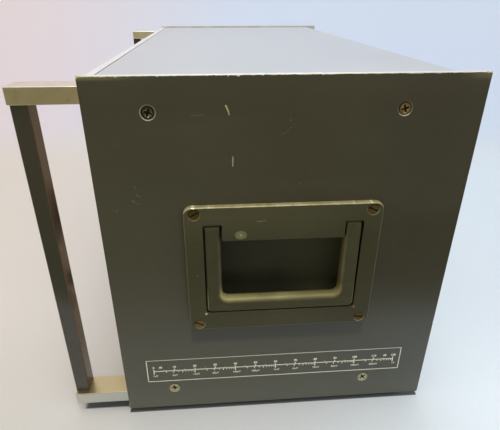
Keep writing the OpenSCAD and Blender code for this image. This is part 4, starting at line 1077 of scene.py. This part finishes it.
# meter face
p = Print(FRONT_AXES, (-145.0, -97.5, 144.0))
p.arc(0, 0, 56.0, -45, 45, 0.45)
p.arc(0, 0, 48.5, -45, 45, 0.35)
for k in range(51):
    a = -45 + 90 * k / 50.0
    p.ray(0, 0, a, 56.0, 56.0 + (4.4 if k % 5 == 0 else 2.6), 0.45 if k % 5 == 0 else 0.3)
for k in range(0, 11):
    a = -45 + 9.0 * k
    p.text(str(k), 63.6 * math.sin(math.radians(a)), 63.6 * math.cos(math.radians(a)), 4.6, a)
for db in range(-20, 4):
    frac = 10 ** (db / 20.0) / 10 ** (3 / 20.0)
    if db < -10 and db % 5:
        continue
    a = -45 + 90 * frac
    big = db in (-20, -10, -6, -3, 0, 3)
    p.ray(0, 0, a, 48.5, 48.5 - (3.6 if big else 2.2), 0.35)
    if big:
        p.text(str(db), 42.4 * math.sin(math.radians(a)), 42.4 * math.cos(math.radians(a)), 3.2, a)
p.text("dB", 0, 30.0, 4.2)
p.done("meter_face_print", "dark_ink", "case")

# tuning dial marks, on the disc
p = Print(FRONT_AXES, (25.0, -86.0, 152.0))
p.arc(0, 0, 60.0, -132, 132, 0.35, 120)
p.arc(0, 0, 51.5, -132, 132, 0.25, 120)
for k in range(0, 133):
    a = -132 + 2.0 * k
    p.ray(0, 0, a, 60.0, 60.0 - (4.0 if k % 5 == 1 else 2.2), 0.35 if k % 5 == 1 else 0.25)
for k in range(0, 27):
    a = -130 + 10.0 * k
    p.text(str(10 * k), 47.6 * math.sin(math.radians(a)), 47.6 * math.cos(math.radians(a)), 3.6, a)
p.done("dial_print", "dark_ink", "dial")

# hair line of the dial window
p = Print(FRONT_AXES, (25.0, -87.9, 152.0))
p.line(0, 42.5, 0, 65.5, 0.35)
p.done("dial_hair_line", "red", "case")

# marks round the front controls
p = Print(FRONT_AXES, (0.0, -94.5, 0.0))
for k in range(0, 11):
    a = -150 + 30.0 * k
    p.ray(138, 132, a, 22.2, 24.6 if k % 2 else 25.2, 0.5)
    if k % 2 == 0 or True:
        p.text(str(10 * k), 138 + 28.0 * math.sin(math.radians(a)) * (1.0 if k < 10 else 1.02), 132 + 28.0 * math.cos(math.radians(a)), 3.4)
for k in range(0, 6):
    a = -75 + 30.0 * k
    p.ray(180, 132, a, 15.2, 17.4, 0.5)
    if k > 0:
        p.text(str(k), 180 + 20.4 * math.sin(math.radians(a)), 132 + 20.4 * math.cos(math.radians(a)), 3.4)
for k in range(0, 11):
    a = -150 + 30.0 * k
    p.ray(145, 68, a, 9.4, 11.2, 0.4)
    if k % 2 == 0:
        p.text(str(k), 145 + 13.8 * math.sin(math.radians(a)), 68 + 13.8 * math.cos(math.radians(a)), 2.8)
p.text("ON", -198, 92.5, 3.6)
p.text("OFF", -198, 60.0, 3.6)
p.text("dB", 138, 170.0, 4.2)
p.arc(25, 152, 69.0, -54, 54, 0.5, 40)
p.done("front_panel_print", "dark_ink", "case")

# index lines on the knobs
for node, body, cx, cz, y, r0, r1, a, w in (
    ("attenuator", "attenuator", 138, 132, -100.5, 14.8, 20.3, -150, 1.0),
    ("selector", "selector", 180, 132, -100.5, 9.8, 12.5, -75, 0.9),
    ("volume", "volume", 145, 68, -100.0, 6.6, 7.6, -150, 0.7),
    ("tuning", "tuning_drive", 25, 76.7, -99.0, 26.4, 29.2, 0, 1.0),
):
    p = Print(FRONT_AXES, (cx, y, cz))
    p.ray(0, 0, a, r0, r1, w)
    p.done(node + "_index", "white_ink", body)

# ---------------------------------------------------------------- floor, light, camera


def floor_mat(name, wall=False):
    m = Mat(name)
    # painted light on the table: warm on the lamp's side (-y), cool on the window's side (+y)
    col = m.mix(m.span(m.y, -0.45, 0.45), lin(219, 210, 197), lin(216, 227, 235))
    col = m.mix(m.span(m.noise(1.6, 4), 0.3, 0.7, 0.0, 0.25), col, lin(212, 213, 212))
    far = m.mix(m.span(m.y, -0.9, 0.25), lin(230, 214, 213), lin(210, 222, 238))
    col = m.mix(m.span(m.x, -0.30, -0.75), col, far)
    # in front of the case, painted shade on the lamp's side and painted light on the window's side
    front = m.span(m.x, 0.08, 0.32)
    col = m.mix(m.math("MULTIPLY", front, m.span(m.y, 0.0, -0.30, 0.0, 1.0)), col, lin(194, 191, 180))
    col = m.mix(m.math("MULTIPLY", front, m.span(m.y, 0.02, 0.22, 0.0, 0.7)), col, lin(236, 246, 251))
    col = m.mix(m.span(m.noise(240.0, 3), 0.4, 0.8, 0.0, 0.06), col, lin(190, 190, 186))
    # painted shadow on the table under the case and under the lower guard arms, where no light comes
    under = m.math("MULTIPLY", m.span(m.math("ABSOLUTE", m.x), 0.2363, 0.2355), m.math("MULTIPLY", m.span(m.y, -0.0955, -0.0945), m.span(m.y, 0.1353, 0.1343)))
    arms = m.math("MULTIPLY", m.span(m.math("ABSOLUTE", m.x), 0.2304, 0.2292), m.span(m.math("ABSOLUTE", m.x), 0.2125, 0.2145))
    arms = m.math("MULTIPLY", arms, m.math("MULTIPLY", m.span(m.y, -0.1325, -0.1285), m.span(m.y, -0.0935, -0.0945)))
    col = m.mix(m.math("MULTIPLY", m.most(under, arms), 0.9), col, m.mix(arms, lin(44, 49, 47), lin(54, 62, 64)))
    m.set(Base_Color=col, Roughness=m.span(m.noise(6.0, 4), 0.3, 0.7, 0.42, 0.55), Normal=m.bump(m.noise(500.0, 3), 0.02, 0.0004))
    if wall:
        # the wall glows evenly above the curve, so that no lamp draws an outline on it
        rise = m.span(m.z, 0.28, 0.70)
        glow = m.mix(m.span(m.y, -1.6, 1.6), lin(226, 216, 209), lin(214, 225, 238))
        m.set(Base_Color=m.mix(rise, col, (0, 0, 0, 1)), Emission_Color=glow, Emission_Strength=rise)
        m.put(m.b.inputs["Specular IOR Level"], m.level(rise, 0.5, 0.0))
    return m


def stage_sheet(name, rows, mat, closed=False):
    """Sheet through rows of points, for the floor and backdrop."""
    bm = bmesh.new()
    rows = [[bm.verts.new(q) for q in row] for row in rows]
    for lo, hi in zip(rows, rows[1:]):
        for i in range(len(lo) if closed else len(lo) - 1):
            j = (i + 1) % len(lo)
            bm.faces.new((lo[i], lo[j], hi[j], hi[i])).smooth = True
    me = bpy.data.meshes.new(name)
    bm.to_mesh(me)
    bm.free()
    me.materials.append(mat.mat)
    ob = bpy.data.objects.new(name, me)
    scene.collection.objects.link(ob)
    return ob


table = floor_mat("table_top")
curve = [(0.9 * math.sin(math.radians(a)), 0.9 - 0.9 * math.cos(math.radians(a))) for a in range(0, 91, 5)]
stage_sheet("floor", [[(x, y, 0.0) for y in (-4.0, 0.0, 4.0)] for x in (-0.9, 0.0, 3.5)], table)
# a sweep behind the object lights it and is mirrored in it; a round cove is what the camera sees
sweep = stage_sheet("sweep", [[(-0.9 - x, y, z) for y in (-4.0, 0.0, 4.0)] for x, z in curve + [(0.9, 2.8)]], table)
sweep.visible_camera = False
cove = stage_sheet("cove", [[((0.85 + x) * math.cos(2 * math.pi * k / 96), (0.85 + x) * math.sin(2 * math.pi * k / 96), z + 0.0004) for k in range(96)]
                            for x, z in curve + [(0.9, 3.4)]], floor_mat("backdrop", True), closed=True)
cove.visible_diffuse = cove.visible_glossy = cove.visible_transmission = cove.visible_shadow = False

world = bpy.data.worlds.new("studio")
scene.world = world
world.use_nodes = True
wt = world.node_tree
wt.nodes.clear()
wo = wt.nodes.new("ShaderNodeOutputWorld")
bg = wt.nodes.new("ShaderNodeBackground")
wt.links.new(bg.outputs[0], wo.inputs[0])
tc = wt.nodes.new("ShaderNodeTexCoord")
sp = wt.nodes.new("ShaderNodeSeparateXYZ")
wt.links.new(tc.outputs["Generated"], sp.inputs[0])
rise = wt.nodes.new("ShaderNodeMapRange")
wt.links.new(sp.outputs[2], rise.inputs["Value"])
rise.inputs["From Min"].default_value = -0.1
rise.inputs["From Max"].default_value = 0.9
side_mix = wt.nodes.new("ShaderNodeMapRange")
wt.links.new(sp.outputs[1], side_mix.inputs["Value"])
side_mix.inputs["From Min"].default_value = -0.8
side_mix.inputs["From Max"].default_value = 0.8
hue = wt.nodes.new("ShaderNodeMix")
hue.data_type = "RGBA"
wt.links.new(side_mix.outputs["Result"], hue.inputs[0])
hue.inputs[6].default_value = (1.0, 0.91, 0.86, 1)
hue.inputs[7].default_value = (0.80, 0.92, 1.08, 1)
sky = wt.nodes.new("ShaderNodeMix")
sky.data_type = "RGBA"
wt.links.new(rise.outputs["Result"], sky.inputs[0])
wt.links.new(hue.outputs[2], sky.inputs[6])
sky.inputs[7].default_value = (0.96, 0.97, 1.0, 1)
wt.links.new(sky.outputs[2], bg.inputs["Color"])
bg.inputs["Strength"].default_value = 0.63


def area(name, loc, aim, size, power, colour):
    li = bpy.data.lights.new(name, "AREA")
    li.shape = "RECTANGLE"
    li.size, li.size_y = size
    li.energy = power
    li.color = colour
    ob = bpy.data.objects.new(name, li)
    scene.collection.objects.link(ob)
    ob.location = loc
    ob.rotation_euler = (Vector(aim) - Vector(loc)).to_track_quat("-Z", "Y").to_euler()
    ob.visible_camera = False
    return ob


area("overhead", (-0.45, 0.0, 1.7), (-0.25, 0.0, 0.0), (1.6, 2.0), 4.0, (1.0, 0.94, 0.86))
area("ceiling", (1.0, 0.15, 1.8), (0.55, 0.05, 0.0), (0.9, 2.0), 13.5, (1.0, 0.99, 0.96))
area("window", (0.3, 1.5, 0.9), (0.2, 0.3, 0.0), (1.4, 1.0), 3.2, (0.80, 0.92, 1.0))
area("lamp", (0.0, -1.5, 0.9), (0.0, -0.3, 0.10), (1.4, 1.0), 3.2, (1.0, 0.86, 0.70))
area("fill", (1.2, 0.0, 0.85), (0.235, 0.0, 0.13), (1.8, 0.6), 1.4, (1.0, 0.98, 0.90))
area("backdrop", (-0.7, 0.0, 2.3), (-1.75, 0.0, 0.5), (0.8, 3.0), 7.5, (1.0, 0.98, 0.98))

# dim warm wall behind the camera, mirrored by the side panel and the guard arms
m = Mat("room_wall")
m.set(Base_Color=m.mix(m.noise(2.0, 3), lin(160, 148, 114), lin(170, 158, 124)), Roughness=m.span(m.noise(5.0, 3), 0.3, 0.7, 0.8, 0.95))
bm = bmesh.new()
cols = [[bm.verts.new((x, y, z)) for z in (0.0, 0.6)] for x, y in ((0.62, -1.6), (0.60, -0.05), (0.47, 0.25), (0.30, 1.0))]
for a, b in zip(cols, cols[1:]):
    bm.faces.new((a[0], b[0], b[1], a[1]))
me = bpy.data.meshes.new("room_wall")
bm.to_mesh(me)
bm.free()
me.materials.append(m.mat)
card = bpy.data.objects.new("room_wall", me)
scene.collection.objects.link(card)
card.visible_camera = False
card.visible_diffuse = False
card.visible_shadow = False
# the dim ground in front of that wall, past the edge of the table, which only mirrors show
m = Mat("room_ground")
m.set(Base_Color=m.mix(m.noise(2.0, 3), lin(112, 104, 82), lin(122, 114, 90)), Roughness=m.span(m.noise(5.0, 3), 0.3, 0.7, 0.8, 0.95))
m.b.inputs["Specular IOR Level"].default_value = 0.1
ground = stage_sheet("room_ground", [[(0.467, -1.6, 0.0015), (0.3566, -0.05, 0.0015), (0.335, 0.25, 0.0015), (0.285, 1.0, 0.0015)],
                                     [(0.62, -1.6, 0.0015), (0.60, -0.05, 0.0015), (0.47, 0.25, 0.0015), (0.30, 1.0, 0.0015)]], m)
ground.visible_camera = False
ground.visible_diffuse = False
ground.visible_shadow = False
scene.view_settings.view_transform = "Standard"

cam = bpy.data.cameras.new("camera")
cam.sensor_width = 36.0
cam.lens = 31.50
cam.shift_x, cam.shift_y = 0.00846, -0.00056
cam.clip_start, cam.clip_end = 0.01, 50.0
eye = bpy.data.objects.new("camera", cam)
scene.collection.objects.link(eye)
right = Vector((0.07463, 0.99721, 0.0))
down = Vector((0.44120, -0.03302, -0.89680))
forward = Vector((-0.89430, 0.06693, -0.44243))
up, back = -down, -forward
eye.matrix_world = Matrix((
    (right.x, up.x, back.x, 0.4798),
    (right.y, up.y, back.y, -0.0229),
    (right.z, up.z, back.z, 0.2894),
    (0, 0, 0, 1)))
scene.camera = eye
